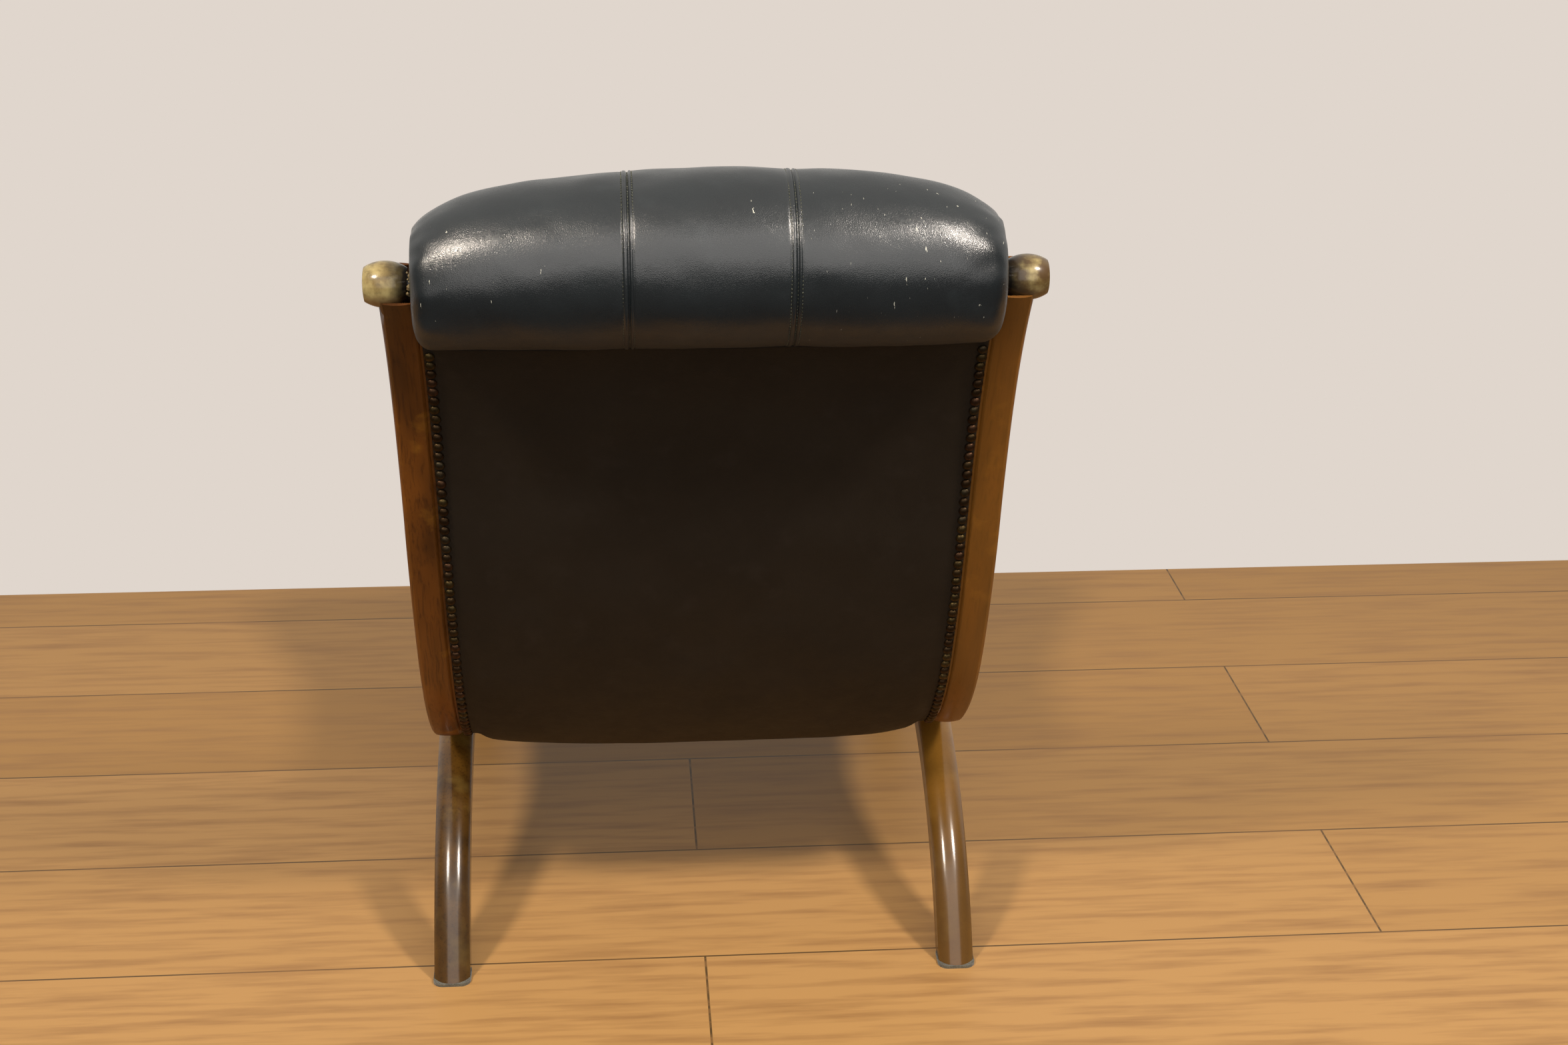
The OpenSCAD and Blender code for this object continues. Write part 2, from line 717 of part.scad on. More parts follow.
// Section of a padded cover, [distance from the middle, height], from the middle outward: three
// channels, a side that draws in towards the nails, the flange under them and the room for foam.
function cover_half(h) =
    concat([for (f = [0, 0.45, 0.85]) let (w = f * seam_x) [w, h - pad_drop(w, pad_half)]],
           [[seam_x, h - seam_dip]],
           [for (f = [0.12, 0.36, 0.62, 0.84, 0.96])
                let (w = seam_x + f * (pad_half - seam_x)) [w, h - pad_drop(w, pad_half)]],
           [[pad_half, h - edge_drop - (h - edge_drop) * 0.3],
            [pad_half - 1.5, h * 0.34],
            [pad_in, hide_t + nail_h],
            [pad_in, hide_t],
            [show_in - panel_gap, hide_t],
            [show_in - panel_gap, 0],
            [foam_half + soft_gap, 0],
            [foam_half + soft_gap, h * foam_part + soft_gap]]);
function foam_section(h) =
    [[foam_half, h * foam_part], [foam_half, strap_t + soft_gap],
     [-foam_half, strap_t + soft_gap], [-foam_half, h * foam_part]];
foam_part = 0.56;

// The inside back at station s: [point on the ledge, point on its surface].
function back_pad_at(s) =
    [inside(back_curve, s, ledge_depth + soft_gap), inside(back_curve, s, ledge_depth + back_pad)];

// The seat at u along the rail, negative behind the lowest point. Its top line runs from the tuck
// to the neck of the front roll, with a sag.
function forward(p) = [-p[0], p[1]];
function seat_base(u) =
    u < 0 ? forward(inside(back_curve, -u, ledge_depth + soft_gap))
          : inside(front_curve, u, ledge_depth + soft_gap);
seat_top_rear = forward(inside(back_curve, tuck_s - soft_gap, ledge_depth + back_pad));
seat_top_front = inside(front_curve, front_neck_s, ledge_depth + seat_front_pad);
function seat_pad_at(u) =
    let (f = pow((u + tuck_s) / (front_neck_s + tuck_s), 1.15))
    [seat_base(u), seat_top_rear * (1 - f) + seat_top_front * f - [0, seat_sag * 4 * f * (1 - f)]];
seat_marks = concat([for (s = reverse(marks(back_curve, 0, tuck_s - soft_gap))) -s],
                    [for (s = marks(front_curve, 0, front_neck_s)) if (s > 0) s]);
function reverse(list) = [for (i = [len(list) - 1 : -1 : 0]) list[i]];

// How much a pad is rounded off near the tuck, at distance e from it.
function tuck_fall(e) = e > tuck_r ? 0 : tuck_r * 0.6 * (1 - sqrt(1 - pow(1 - e / tuck_r, 2)));
tuck_r = 30;

module pad_cover(stations, falls) {
    skin([for (i = [0 : len(stations) - 1])
              let (b = stations[i][0], t = stations[i][1], h = norm(t - b) - falls[i])
              [for (q = both_ways(cover_half(h))) lifted(b, t, q[0], q[1])]]);
}

module pad_foam(stations, falls) {
    skin([for (i = [0 : len(stations) - 1])
              let (b = stations[i][0], t = stations[i][1], h = norm(t - b) - falls[i])
              [for (q = foam_section(h)) lifted(b, t, q[0], q[1])]]);
}

back_marks = marks(back_curve, tuck_s, back_neck_s);
back_stations = [for (s = back_marks) back_pad_at(s)];
back_falls = [for (s = back_marks) tuck_fall(s - tuck_s)];
seat_stations = [for (u = seat_marks) seat_pad_at(u)];
seat_falls = [for (u = seat_marks) tuck_fall(u + tuck_s)];

module inside_back() {
    color(leather) to_back() pad_cover(back_stations, back_falls);
}

module back_foam() {
    color(foam) to_back() pad_foam(back_stations, back_falls);
}

module seat() {
    color(leather) to_front() pad_cover(seat_stations, seat_falls);
}

module seat_foam() {
    color(foam) to_front() pad_foam(seat_stations, seat_falls);
}

// How much a roll loses towards its ends: on top it falls off as a pillow does, below it stays
// straight and only its end is rounded.
function pillow_drop(w, r) = r * (1 - pow(1 - pow(w / pillow_half, pillow_p), 1 / pillow_p));
pillow_over = 7;
pillow_half = roll_half + pillow_over;
pillow_p = 2.6;
function end_drop(w) =
    let (q = max(0, (w - roll_half + end_round) / end_round)) end_round * (1 - sqrt(1 - q * q));
end_round = 12;
function seam_valley(w) =
    w < seam_x ? seam_dip * 0.7 * pow(w / seam_x, 4)
               : seam_dip * 0.7 * pow(max(0, 1 - (w - seam_x) / seam_x), 4);

// Radius of a roll in direction a, at distance w from the middle. neck is the heading of the plane
// that it meets the pad in, and the corner between them is filled up to the pad's surface.
function roll_radius(a, w, r, neck, pad_reach, fullness) =
    let (off = angle_between(a, neck - 180),
         filled = off > 0 && off < 85 ? min(r / cos(off), pad_reach / sin(off)) : 0,
         up = (1 + sin(a)) / 2,
         drop = fullness * up * pillow_drop(w, r) + (1 - up) * end_drop(w) + seam_valley(w))
    max(r, filled) - drop;
// Signed angle from direction b to direction a, positive towards the sitter.
function angle_between(a, b) = let (d = (b - a) % 360) d > 180 ? d - 360 : d < -180 ? d + 360 : d;

function roll_ring(centre, w, radii, angles) =
    [for (i = [0 : len(angles) - 1])
         [centre[0] + radii[i] * cos(angles[i]), centre[1] + radii[i] * sin(angles[i]), w]];

// A stuffed roll with a bore for its core: outer rings from end to end, the end face in to the
// spigot's hole, and back along the bore.
module roll_cover(centre, knob_at, r, neck, pad_reach, fullness) {
    corner_a = neck - 180 - atan(pad_reach / r);
    angles = [for (i = [0 : roll_sides - 1]) corner_a - i * 360 / roll_sides];
    half_marks = [0, 0.45 * seam_x, 0.85 * seam_x, seam_x, 1.15 * seam_x, 1.6 * seam_x,
                  2.15 * seam_x, 2.65 * seam_x, 3.05 * seam_x, 3.3 * seam_x,
                  roll_half - end_round * 0.55, roll_half - end_round * 0.2, roll_half];
    outer_w = concat([for (w = reverse(half_marks)) -w], [for (w = half_marks) if (w > 0) w]);
    outer = [for (w = outer_w)
                 roll_ring(centre, w, [for (a = angles)
                     roll_radius(a, abs(w), r, neck, pad_reach, fullness)], angles)];
    end_r = core_end_r(centre, knob_at);
    inner = [for (c = [[knob_at, roll_half, tenon_d / 2], [knob_at, bar_half + soft_gap, tenon_d / 2],
                       [knob_at, bar_half + soft_gap, bar_d / 2], [knob_at, core_half + soft_gap, bar_d / 2],
                       [centre, core_half + soft_gap, end_r], [centre, core_flat, r - roll_wall],
                       [centre, -core_flat, r - roll_wall], [centre, -core_half - soft_gap, end_r],
                       [knob_at, -core_half - soft_gap, bar_d / 2],
                       [knob_at, -bar_half - soft_gap, bar_d / 2],
                       [knob_at, -bar_half - soft_gap, tenon_d / 2], [knob_at, -roll_half, tenon_d / 2]])
                 roll_ring(c[0], c[1], [for (a = angles) (c[2] + soft_gap) / cos(180 / roll_sides)], angles)];
    skin(concat(outer, inner), closed = true);
}
roll_sides = 28;

module top_roll() {
    at = station(back_curve, back_neck_s);
    depth = (back_roll_at - at[0]) * inward(at[1]);
    color(leather) to_back() roll_cover(back_roll_at, back_knob_at, roll_r, at[1],
                                        ledge_depth + back_pad - depth, 1);
}

module front_roll() {
    at = station(front_curve, front_neck_s);
    depth = (front_roll_at - at[0]) * inward(at[1]);
    color(leather) to_front() roll_cover(front_roll_at, front_knob_at, nose_roll_r, at[1],
                                         ledge_depth + seat_front_pad - depth, 0.6);
}

// Foam round the bar, inside the roll's cover. It thins towards its ends as the cover does.
module roll_core(centre, knob_at, r) {
    color(foam) difference() {
        translate([centre[0], centre[1], 0]) {
            translate([0, 0, -core_flat]) cylinder(r = r - roll_wall, h = 2 * core_flat);
            for (way = [0, 1])
                mirror([0, 0, way]) translate([0, 0, core_flat])
                    cylinder(r1 = r - roll_wall, r2 = core_end_r(centre, knob_at), h = core_half - core_flat);
        }
        translate([knob_at[0], knob_at[1], -core_half - 1])
            cylinder(r = bar_d / 2 + soft_gap, h = 2 * core_half + 2);
    }
}
core_inset = 33;
core_half = roll_half - core_inset;
core_flat = 0.53 * roll_half;
core_end_wall = 1.5;
function core_end_r(centre, knob_at) = norm(centre - knob_at) + bar_d / 2 + core_end_wall;

// Section of the leather over the open back of the frame, [distance from the middle, height]:
// flat under the nails, fuller in the middle.
function panel_half(belly) =
    [[0, hide_t + belly], [0.4 * pad_in, hide_t + belly * 0.97], [0.7 * pad_in, hide_t + belly * 0.86],
     [0.87 * pad_in, hide_t + belly * 0.6], [0.95 * pad_in, hide_t + belly * 0.28],
     [pad_in, hide_t], [show_in - panel_gap, hide_t], [show_in - panel_gap, 0]];

// Leather panel along the outer edge of a curve. fullness gives its belly at station s.
module panel(curve, stations, bellies) {
    skin([for (i = [0 : len(stations) - 1])
              let (at = station(curve, stations[i]),
                   base = at[0] + (ledge_step - soft_gap) * inward(at[1]))
              [for (q = both_ways(panel_half(bellies[i])))
                   lifted(base, base - inward(at[1]), q[0], q[1])]]);
}

panel_roll_gap = 2;
outside_marks = marks(back_curve, rear_board_s + board_h / 4, back_len + roll_up
                      - sqrt(pow(roll_r, 2) - pow(roll_in + rail_mid, 2)) - panel_roll_gap);
// The belly is fullest at the heel and fades to nothing under the roll.
belly_spread = 95;
function back_belly_at(s) =
    back_belly * (0.18 + 0.82 * exp(-pow((s - back_joint - heel_len * 0.7) / belly_spread, 2)));
apron_marks = marks(front_curve, seat_front_len + soft_gap, front_len + nose_roll_up
                    - sqrt(pow(nose_roll_r, 2) - pow(nose_roll_in + rail_mid, 2)) - panel_roll_gap);

module outside_back() {
    color(leather) to_back()
        panel(back_curve, outside_marks, [for (s = outside_marks) back_belly_at(s)]);
}

module front_apron() {
    color(leather) to_front()
        panel(front_curve, apron_marks, [for (s = apron_marks) apron_belly]);
}
apron_belly = 3;

// Dust cover tacked between the rails, just below the webbing.
module bottom_cover() {
    offset = ledge_depth - soft_gap - cover_t;
    color(cambric) to_front()
        translate([0, seat_r]) rotate([0, 0, -90 - seat_back_a])
            rotate_extrude(angle = seat_back_a + seat_front_a, $fn = fine_fn)
                translate([seat_r - offset - cover_t, soft_gap - rail_in])
                    square([cover_t, 2 * (rail_in - soft_gap)]);
}
cover_t = 1;

// Domed head of a nail, along y towards the outside of the curve.
module nail_head() {
    r = nail_d / 2;
    dome_r = (r * r + nail_h * nail_h) / (2 * nail_h);
    rotate([90, 0, 0]) intersection() {
        cylinder(r = r - nail_rim, h = nail_h, $fn = 24);
        translate([0, 0, nail_h - dome_r]) sphere(dome_r, $fn = 24);
    }
}
nail_w = show_in - nail_gap - nail_d / 2;

// How far the rows stop short of a panel's ends.
row_end = 8;
// A row of nails along a curve, from station s0 to s1 of the line that the heads sit on.
module nail_row(curve, depth, s0, s1, out) {
    line = deeper(curve, depth);
    n = floor((s1 - s0) / nail_pitch);
    for (i = [0 : n]) {
        at = station(line, s0 + i * nail_pitch, [0, depth]);
        translate([at[0][0], at[0][1], nail_w]) rotate([0, 0, at[1]])
            mirror([0, out ? 0 : 1, 0]) nail_head();
    }
}

// The dome would run out to nothing, so its rim is cut off.
nail_rim = 0.15;
// Keeps the nails off the slightly faceted leather.
nail_lift = 0.4;
outer_nail_depth = ledge_step - soft_gap - hide_t - nail_lift;
inner_nail_depth = ledge_depth + soft_gap + hide_t + nail_lift;

module outside_nails() {
    color(brass) to_back() both_faces()
        nail_row(back_curve, outer_nail_depth, back_joint + heel_len * 0.8,
                 last(outside_marks) - row_end, true);
}

module inside_nails() {
    line_back = deeper(back_curve, inner_nail_depth);
    line_front = deeper(front_curve, inner_nail_depth);
    // Both rows stop a nail short of the roll's neck.
    under_roll = (back_len - back_neck_s) * (1 + inner_nail_depth / curl_r) + nail_d;
    under_nose = (front_len - front_neck_s) * (1 + inner_nail_depth / nose_r) + nail_d;
    color(brass) {
        to_back() both_faces()
            nail_row(back_curve, inner_nail_depth, nail_pitch / 2, curve_len(line_back) - under_roll, false);
        to_front() both_faces()
            nail_row(front_curve, inner_nail_depth, nail_pitch / 2,
                     curve_len(line_front) - under_nose, false);
    }
}

module apron_nails() {
    color(brass) to_front() both_faces()
        nail_row(front_curve, outer_nail_depth, seat_front_len + row_end, last(apron_marks) - row_end, true);
}

function last(list) = list[len(list) - 1];

// Repeats its children on the other side of the middle, in side view.
module both_faces() {
    children();
    mirror([0, 0, 1]) children();
}

back_post();  // back_post_left
on_right() back_post();  // back_post_right
seat_rail();  // seat_rail_left
on_right() seat_rail();  // seat_rail_right
leg(1);  // rear_leg_left
on_right() leg(1);  // rear_leg_right
leg(-1);  // front_leg_left
on_right() leg(-1);  // front_leg_right
back_knob();  // back_knob_left
on_right() back_knob();  // back_knob_right
front_knob();  // front_knob_left
on_right() front_knob();  // front_knob_right
boss();  // boss_left
on_right() boss();  // boss_right
stretcher();
to_back() roll_bar(back_knob_at);  // crest_bar
to_front() roll_bar(front_knob_at);  // front_bar
to_back() cross_board(back_curve, upper_board_s);  // back_upper_board
to_back() cross_board(back_curve, lower_board_s);  // back_lower_board
to_back() cross_board(back_curve, rear_board_s);  // seat_rear_board
to_front() cross_board(front_curve, front_board_s);  // seat_front_board
corner_blocks();
board_dowels();
frame_dowels();
foot_pads();
back_webbing();
seat_webbing();
back_foam();
seat_foam();
to_back() roll_core(back_roll_at, back_knob_at, roll_r);  // top_roll_core
to_front() roll_core(front_roll_at, front_knob_at, nose_roll_r);  // front_roll_core
top_roll();
front_roll();
inside_back();
seat();
outside_back();
front_apron();
bottom_cover();
outside_nails();
inside_nails();
apron_nails();
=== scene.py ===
import math

import bmesh
import bpy
import numpy as np
from mathutils import Matrix, Vector
from mathutils.kdtree import KDTree


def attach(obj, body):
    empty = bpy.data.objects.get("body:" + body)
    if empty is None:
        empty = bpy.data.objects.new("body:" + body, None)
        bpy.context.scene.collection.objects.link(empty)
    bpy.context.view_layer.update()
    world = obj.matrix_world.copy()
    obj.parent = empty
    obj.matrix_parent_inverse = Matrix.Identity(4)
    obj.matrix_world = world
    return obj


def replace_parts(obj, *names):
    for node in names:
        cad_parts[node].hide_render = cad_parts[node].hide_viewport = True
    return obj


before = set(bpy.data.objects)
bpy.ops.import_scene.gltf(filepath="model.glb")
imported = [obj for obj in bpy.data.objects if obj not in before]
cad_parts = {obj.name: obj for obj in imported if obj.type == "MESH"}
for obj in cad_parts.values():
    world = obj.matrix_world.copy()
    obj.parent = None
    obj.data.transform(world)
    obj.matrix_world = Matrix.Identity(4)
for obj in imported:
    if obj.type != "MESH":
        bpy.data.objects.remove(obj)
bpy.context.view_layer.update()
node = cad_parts
mm = 0.001
scene = bpy.context.scene

# The photograph's own camera, found by fitting it to the chair.
view = {
    "place": (0.0791, 2.0504, 1.2562),  # metres
    "yaw": 4.771, "pitch": 22.851, "roll": 0.688,  # degrees
    "focalPixels": 3236.5, "imageWidth": 2352, "sensor": 36, "clip": (0.05, 60),
}


def placeCamera(look):
    yaw, pitch, roll = (math.radians(look[key]) for key in ("yaw", "pitch", "roll"))
    forward = Vector((-math.sin(yaw) * math.cos(pitch), -math.cos(yaw) * math.cos(pitch),
                      -math.sin(pitch)))
    level = Vector((-math.cos(yaw), math.sin(yaw), 0))
    upright = level.cross(forward)
    right = math.cos(roll) * level + math.sin(roll) * upright
    up = math.cos(roll) * upright - math.sin(roll) * level
    data = bpy.data.cameras.new("photoCamera")
    data.sensor_width = look["sensor"]
    data.lens = look["focalPixels"] / look["imageWidth"] * look["sensor"]
    data.clip_start, data.clip_end = look["clip"]
    camera = bpy.data.objects.new("photoCamera", data)
    scene.collection.objects.link(camera)
    turned = Matrix((right, up, -forward)).transposed().to_4x4()
    camera.matrix_world = Matrix.Translation(look["place"]) @ turned
    scene.camera = camera


def srgb(code):
    parts = [int(code[i:i + 2], 16) / 255 for i in (1, 3, 5)]
    return tuple(c / 12.92 if c <= 0.04045 else ((c + 0.055) / 1.055) ** 2.4
                 for c in parts) + (1.0,)


# Gives a node's inputs, by name or number, their values or links.
def feed(tree, made, inputs):
    for socket, value in inputs.items():
        if isinstance(value, bpy.types.NodeSocket):
            tree.links.new(value, made.inputs[socket])
        else:
            made.inputs[socket].default_value = value


def add(tree, kind, inputs, **settings):
    made = tree.nodes.new("ShaderNode" + kind)
    for key, value in settings.items():
        setattr(made, key, value)
    feed(tree, made, inputs)
    return made


def maths(tree, operation, *values, kind="Math"):
    return add(tree, kind, dict(enumerate(values)), operation=operation).outputs[0]


# From low at the first level to high at the second, and level beyond them.
def ranged(tree, value, levels, low=0.0, high=1.0):
    return add(tree, "MapRange", {"Value": value, "From Min": levels[0], "From Max": levels[1],
                                  "To Min": low, "To Max": high}).outputs["Result"]


def split(tree, place):
    return add(tree, "SeparateXYZ", {0: place}).outputs


# A mask from noise about size mm large: 0 below the first level and 1 above the second.
def mask(tree, place, size, levels, stretch=(1, 1, 1), detail=3, turn=(0, 0, 0)):
    laid = add(tree, "Mapping", {"Vector": place, "Scale": stretch, "Rotation": turn})
    noise = add(tree, "TexNoise", {"Vector": laid.outputs[0], "Scale": 1 / (size * mm),
                                   "Detail": detail, "Roughness": 0.55})
    return ranged(tree, noise.outputs["Fac"], levels)


# The place shifted by noise of a size and a reach in mm, so that cells and lines aren't straight.
def warped(tree, place, size, reach):
    noise = add(tree, "TexNoise", {"Vector": place, "Scale": 1 / (size * mm)}).outputs["Color"]
    centred = maths(tree, "SUBTRACT", noise, (0.5, 0.5, 0.5), kind="VectorMath")
    moved = maths(tree, "MULTIPLY", centred, (reach * 2 * mm,) * 3, kind="VectorMath")
    return maths(tree, "ADD", place, moved, kind="VectorMath")


# Mixes two colours, each a code or a socket, which are this node's inputs 6 and 7.
def mixColour(tree, amount, low, high):
    low, high = (srgb(tone) if isinstance(tone, str) else tone for tone in (low, high))
    return add(tree, "Mix", {0: amount, 6: low, 7: high}, data_type="RGBA").outputs[2]


# Relief of a depth in mm, on top of another if there is one.
def bump(tree, height, depth, under=None):
    inputs = {"Height": height, "Strength": 1.0, "Distance": depth * mm}
    if under:
        inputs["Normal"] = under
    return add(tree, "Bump", inputs).outputs["Normal"]


def startMaterial(name):
    material = bpy.data.materials.new(name)
    material.use_nodes = True
    tree = material.node_tree
    tree.nodes.clear()
    shader = add(tree, "BsdfPrincipled", {})
    add(tree, "OutputMaterial", {"Surface": shader.outputs["BSDF"]})
    return material, tree, shader, add(tree, "TexCoord", {}).outputs["Object"]


# Cowhide, drum dyed and finished with a pigmented top coat: an even dark blue-grey with a soft
# shine, a fine pebbled grain, and pale scuffs where the coat is rubbed through.
hideLook = {
    "colour": "#181e21", "deep": "#14191c", "rubbed": "#1f2528", "scuff": "#bfbfb2",
    "mottling": dict(size=60, levels=(0.35, 0.68), detail=4),
    "rubbing": dict(size=26, levels=(0.56, 0.8), detail=5),
    "scuffs": dict(size=2.6, levels=(0.72, 0.75), stretch=(1, 0.5, 0.3), detail=2,
                   turn=(0.3, 0.5, 0.2)),
    # scuffs lie in few places on the left, and in many on the right, beyond these x in metres
    "few": dict(size=90, levels=(0.55, 0.6)),
    "many": dict(size=40, levels=(0.42, 0.52)), "manyFrom": (-0.07, -0.17),
    "pebble": 1.4, "pebbleEdge": 0.35, "pebbleDepth": 0.055, "pebbleWarp": (2, 0.6),
    "crease": 9.0, "creaseDetail": 4.0, "creaseDepth": 0.16,
    "polish": dict(size=18, levels=(0.3, 0.7)), "roughness": (0.26, 0.31), "gloss": 0.85,
    # the roll is duller below these heights; it lies beyond these y, in metres too
    "underside": (0.738, 0.712), "rollFrom": (0.31, 0.35), "duller": 0.3,
}
# The same hide on the outside back, never rubbed and so duller. Its darker, browner colour is
# painted shade and a painted reflection of the brown floor.
shadedDullHideLook = dict(hideLook, colour="#251d14", deep="#211910", rubbed="#282018",
                     roughness=(0.55, 0.62), pebbleDepth=0.06, creaseDepth=0.25, gloss=0.22,
                     duller=0.0)


def pigmentedHide(name, look, scuffed=True):
    material, tree, shader, place = startMaterial(name)
    x, y, z = split(tree, place)
    tone = mixColour(tree, mask(tree, place, **look["mottling"]), look["deep"], look["colour"])
    tone = mixColour(tree, mask(tree, place, **look["rubbing"]), tone, look["rubbed"])
    if scuffed:
        many = maths(tree, "MULTIPLY", ranged(tree, x, look["manyFrom"]),
                     mask(tree, place, **look["many"]))
        where = maths(tree, "MAXIMUM", mask(tree, place, **look["few"]), many)
        spots = maths(tree, "MULTIPLY", mask(tree, place, **look["scuffs"]), where)
        tone = mixColour(tree, spots, tone, look["scuff"])
    cells = add(tree, "TexVoronoi", {"Vector": warped(tree, place, *look["pebbleWarp"]),
                                     "Scale": 1 / (look["pebble"] * mm)},
                feature="DISTANCE_TO_EDGE").outputs["Distance"]
    creases = add(tree, "TexNoise", {"Vector": place, "Scale": 1 / (look["crease"] * mm),
                                     "Detail": look["creaseDetail"]}).outputs["Fac"]
    shape = bump(tree, creases, look["creaseDepth"])
    shape = bump(tree, ranged(tree, cells, (0.0, look["pebbleEdge"])), look["pebbleDepth"], shape)
    rough = ranged(tree, mask(tree, place, **look["polish"]), (0.0, 1.0), *look["roughness"])
    under = maths(tree, "MULTIPLY", ranged(tree, z, look["underside"]),
                  ranged(tree, y, look["rollFrom"]))
    rough = maths(tree, "MULTIPLY_ADD", under, look["duller"], rough)
    feed(tree, shader, {"Base Color": tone, "Roughness": rough, "Normal": shape, "IOR": 1.5,
                        "Specular IOR Level": look["gloss"]})
    return material


# Beech stained mahogany and spirit varnished: a warm brown with straight grain, fine dark pores,
# and a thin hard gloss over it, worn pale olive and gold where hands and feet touch it.
railLook = {
    "pale": "#7a4614", "dark": "#4a2909", "streak": "#271406", "worn": "#96621a",
    "other": ("#8e5f22", 0.45),  # the rail on the sitter's right is more golden
    "turn": (0.42, 0, 0), "grainAxis": 2, "grainAlong": 190.0, "grainAcross": 2.6, "warp": (45, 3),
    "streaks": (0.5, 0.72), "streakAmount": 0.6, "grainDepth": 0.06,
    "broad": dict(size=40, levels=(0.3, 0.7), stretch=(1, 1, 0.25), detail=2),
    "wear": dict(size=34, levels=(0.58, 0.86), detail=6),
    "roughness": (0.5, 0.66), "varnish": 0.2, "coat": 0.22, "gloss": 0.15,
}
legLook = dict(
    railLook, pale="#6e4b18", dark="#38240c", streak="#1c1005", worn="#876b32",
    other=("#9a6c27", 0.5), turn=(1.0, 0, 0), wear=dict(size=34, levels=(0.5, 0.82), detail=6),
    roughness=(0.34, 0.5), varnish=0.16, coat=0.85,
    crossing=-0.0815,  # metres: the front half of the arch mirrors the rear half about it
    feet=("#33230f", (0.17, 0.09), 0.55))  # darker down to the feet
# A knob is dark at its inner end, where it meets the roll's end: painted shade, with polish and
# dirt. It is red-brown underneath, where hands don't rub. The knobs on the sitter's right have
# kept more of their stain.
knobLook = dict(
    railLook, pale="#7f6c40", dark="#4c3818", streak="#21180d", worn="#b5a46e", other=None,
    turn=(0, 0, 0), grainAxis=0, grainAlong=30.0, coat=0.9,
    wear=dict(size=12, levels=(0.36, 0.66), detail=6),
    shade={"innerEndShadeAndDirt": "#15100b", "inner": (0.248, 0.261), "underside": "#6b4322",
           "axes": (0.3584, 0.7495), "between": 0.41, "below": (-0.016, -0.003),
           "stain": "#4a3318", "stained": dict(size=14, levels=(0.28, 0.55)), "amount": 0.9,
           "warp": (9, 4)})


def varnishedBeech(name, look):
    material, tree, shader, place = startMaterial(name)
    x, _, z = split(tree, place)
    laid = place
    if "crossing" in look:
        moved = maths(tree, "SUBTRACT", place, (0, look["crossing"], 0), kind="VectorMath")
        laid = maths(tree, "ABSOLUTE", moved, kind="VectorMath")
    turned = add(tree, "Mapping", {"Vector": warped(tree, laid, *look["warp"]),
                                   "Rotation": look["turn"]}).outputs[0]
    spacing = [look["grainAcross"]] * 3
    spacing[look["grainAxis"]] = look["grainAlong"]
    lines = add(tree, "Mapping", {"Vector": turned, "Scale": [1 / (size * mm) for size in spacing]})
    grain = add(tree, "TexNoise", {"Vector": lines.outputs[0], "Scale": 1.0, "Detail": 5.0,
                                   "Roughness": 0.6}).outputs["Fac"]
    tone = mixColour(tree, mask(tree, turned, **look["broad"]), look["dark"], look["pale"])
    streaks = maths(tree, "MULTIPLY", ranged(tree, grain, look["streaks"]), look["streakAmount"])
    tone = mixColour(tree, streaks, tone, look["streak"])
    worn = mask(tree, place, **look["wear"])
    tone = mixColour(tree, worn, tone, look["worn"])
    if look["other"]:
        colour, amount = look["other"]
        right = maths(tree, "MULTIPLY", maths(tree, "LESS_THAN", x, 0.0), amount)
        tone = mixColour(tree, right, tone, colour)
    if "feet" in look:
        colour, heights, amount = look["feet"]
        tone = mixColour(tree, ranged(tree, z, heights, 0.0, amount), tone, colour)
    if "shade" in look:
        tone = handledShade(tree, place, tone, look["shade"])
    feed(tree, shader, {
        "Base Color": tone, "Roughness": ranged(tree, worn, (0.0, 1.0), *look["roughness"]),
        "Normal": bump(tree, grain, look["grainDepth"]), "IOR": 1.5,
        "Specular IOR Level": look["gloss"], "Coat Weight": look["coat"],
        "Coat Roughness": look["varnish"]})
    return material


def handledShade(tree, place, tone, shade):
    x, _, z = split(tree, warped(tree, place, *shade["warp"]))
    front, back = (ranged(tree, z, [axis + reach for reach in shade["below"]], 1.0, 0.0)
                   for axis in shade["axes"])
    isBack = maths(tree, "GREATER_THAN", z, shade["between"])
    under = add(tree, "Mix", {0: isBack, 2: front, 3: back}).outputs[0]
    tone = mixColour(tree, under, tone, shade["underside"])
    right = maths(tree, "MULTIPLY", maths(tree, "LESS_THAN", x, 0.0),
                  mask(tree, place, **shade["stained"]))
    tone = mixColour(tree, maths(tree, "MULTIPLY", right, shade["amount"]), tone, shade["stain"])
    # painted shade, with dirt: the knob darkens to near black at its inner end, by the roll
    shadeAndDirt = ranged(tree, maths(tree, "ABSOLUTE", x), shade["inner"], 1.0, 0.0)
    return mixColour(tree, shadeAndDirt, tone, shade["innerEndShadeAndDirt"])


# Brass plated nail heads gone dull: brown in the hollows and yellow where they are rubbed.
brassLook = {
    "heads": ["#52452a", "#453724", "#50392a", "#484132", "#3e2f20", "#54482c", "#493b2a"],
    "brown": "#382a1c", "blotches": dict(size=3, levels=(0.3, 0.6)), "depth": 0.08,
    "dark": "#281d14", "darkest": 0.5, "darkFrom": (0.2, 1.0), "roughness": (0.55, 0.45),
}


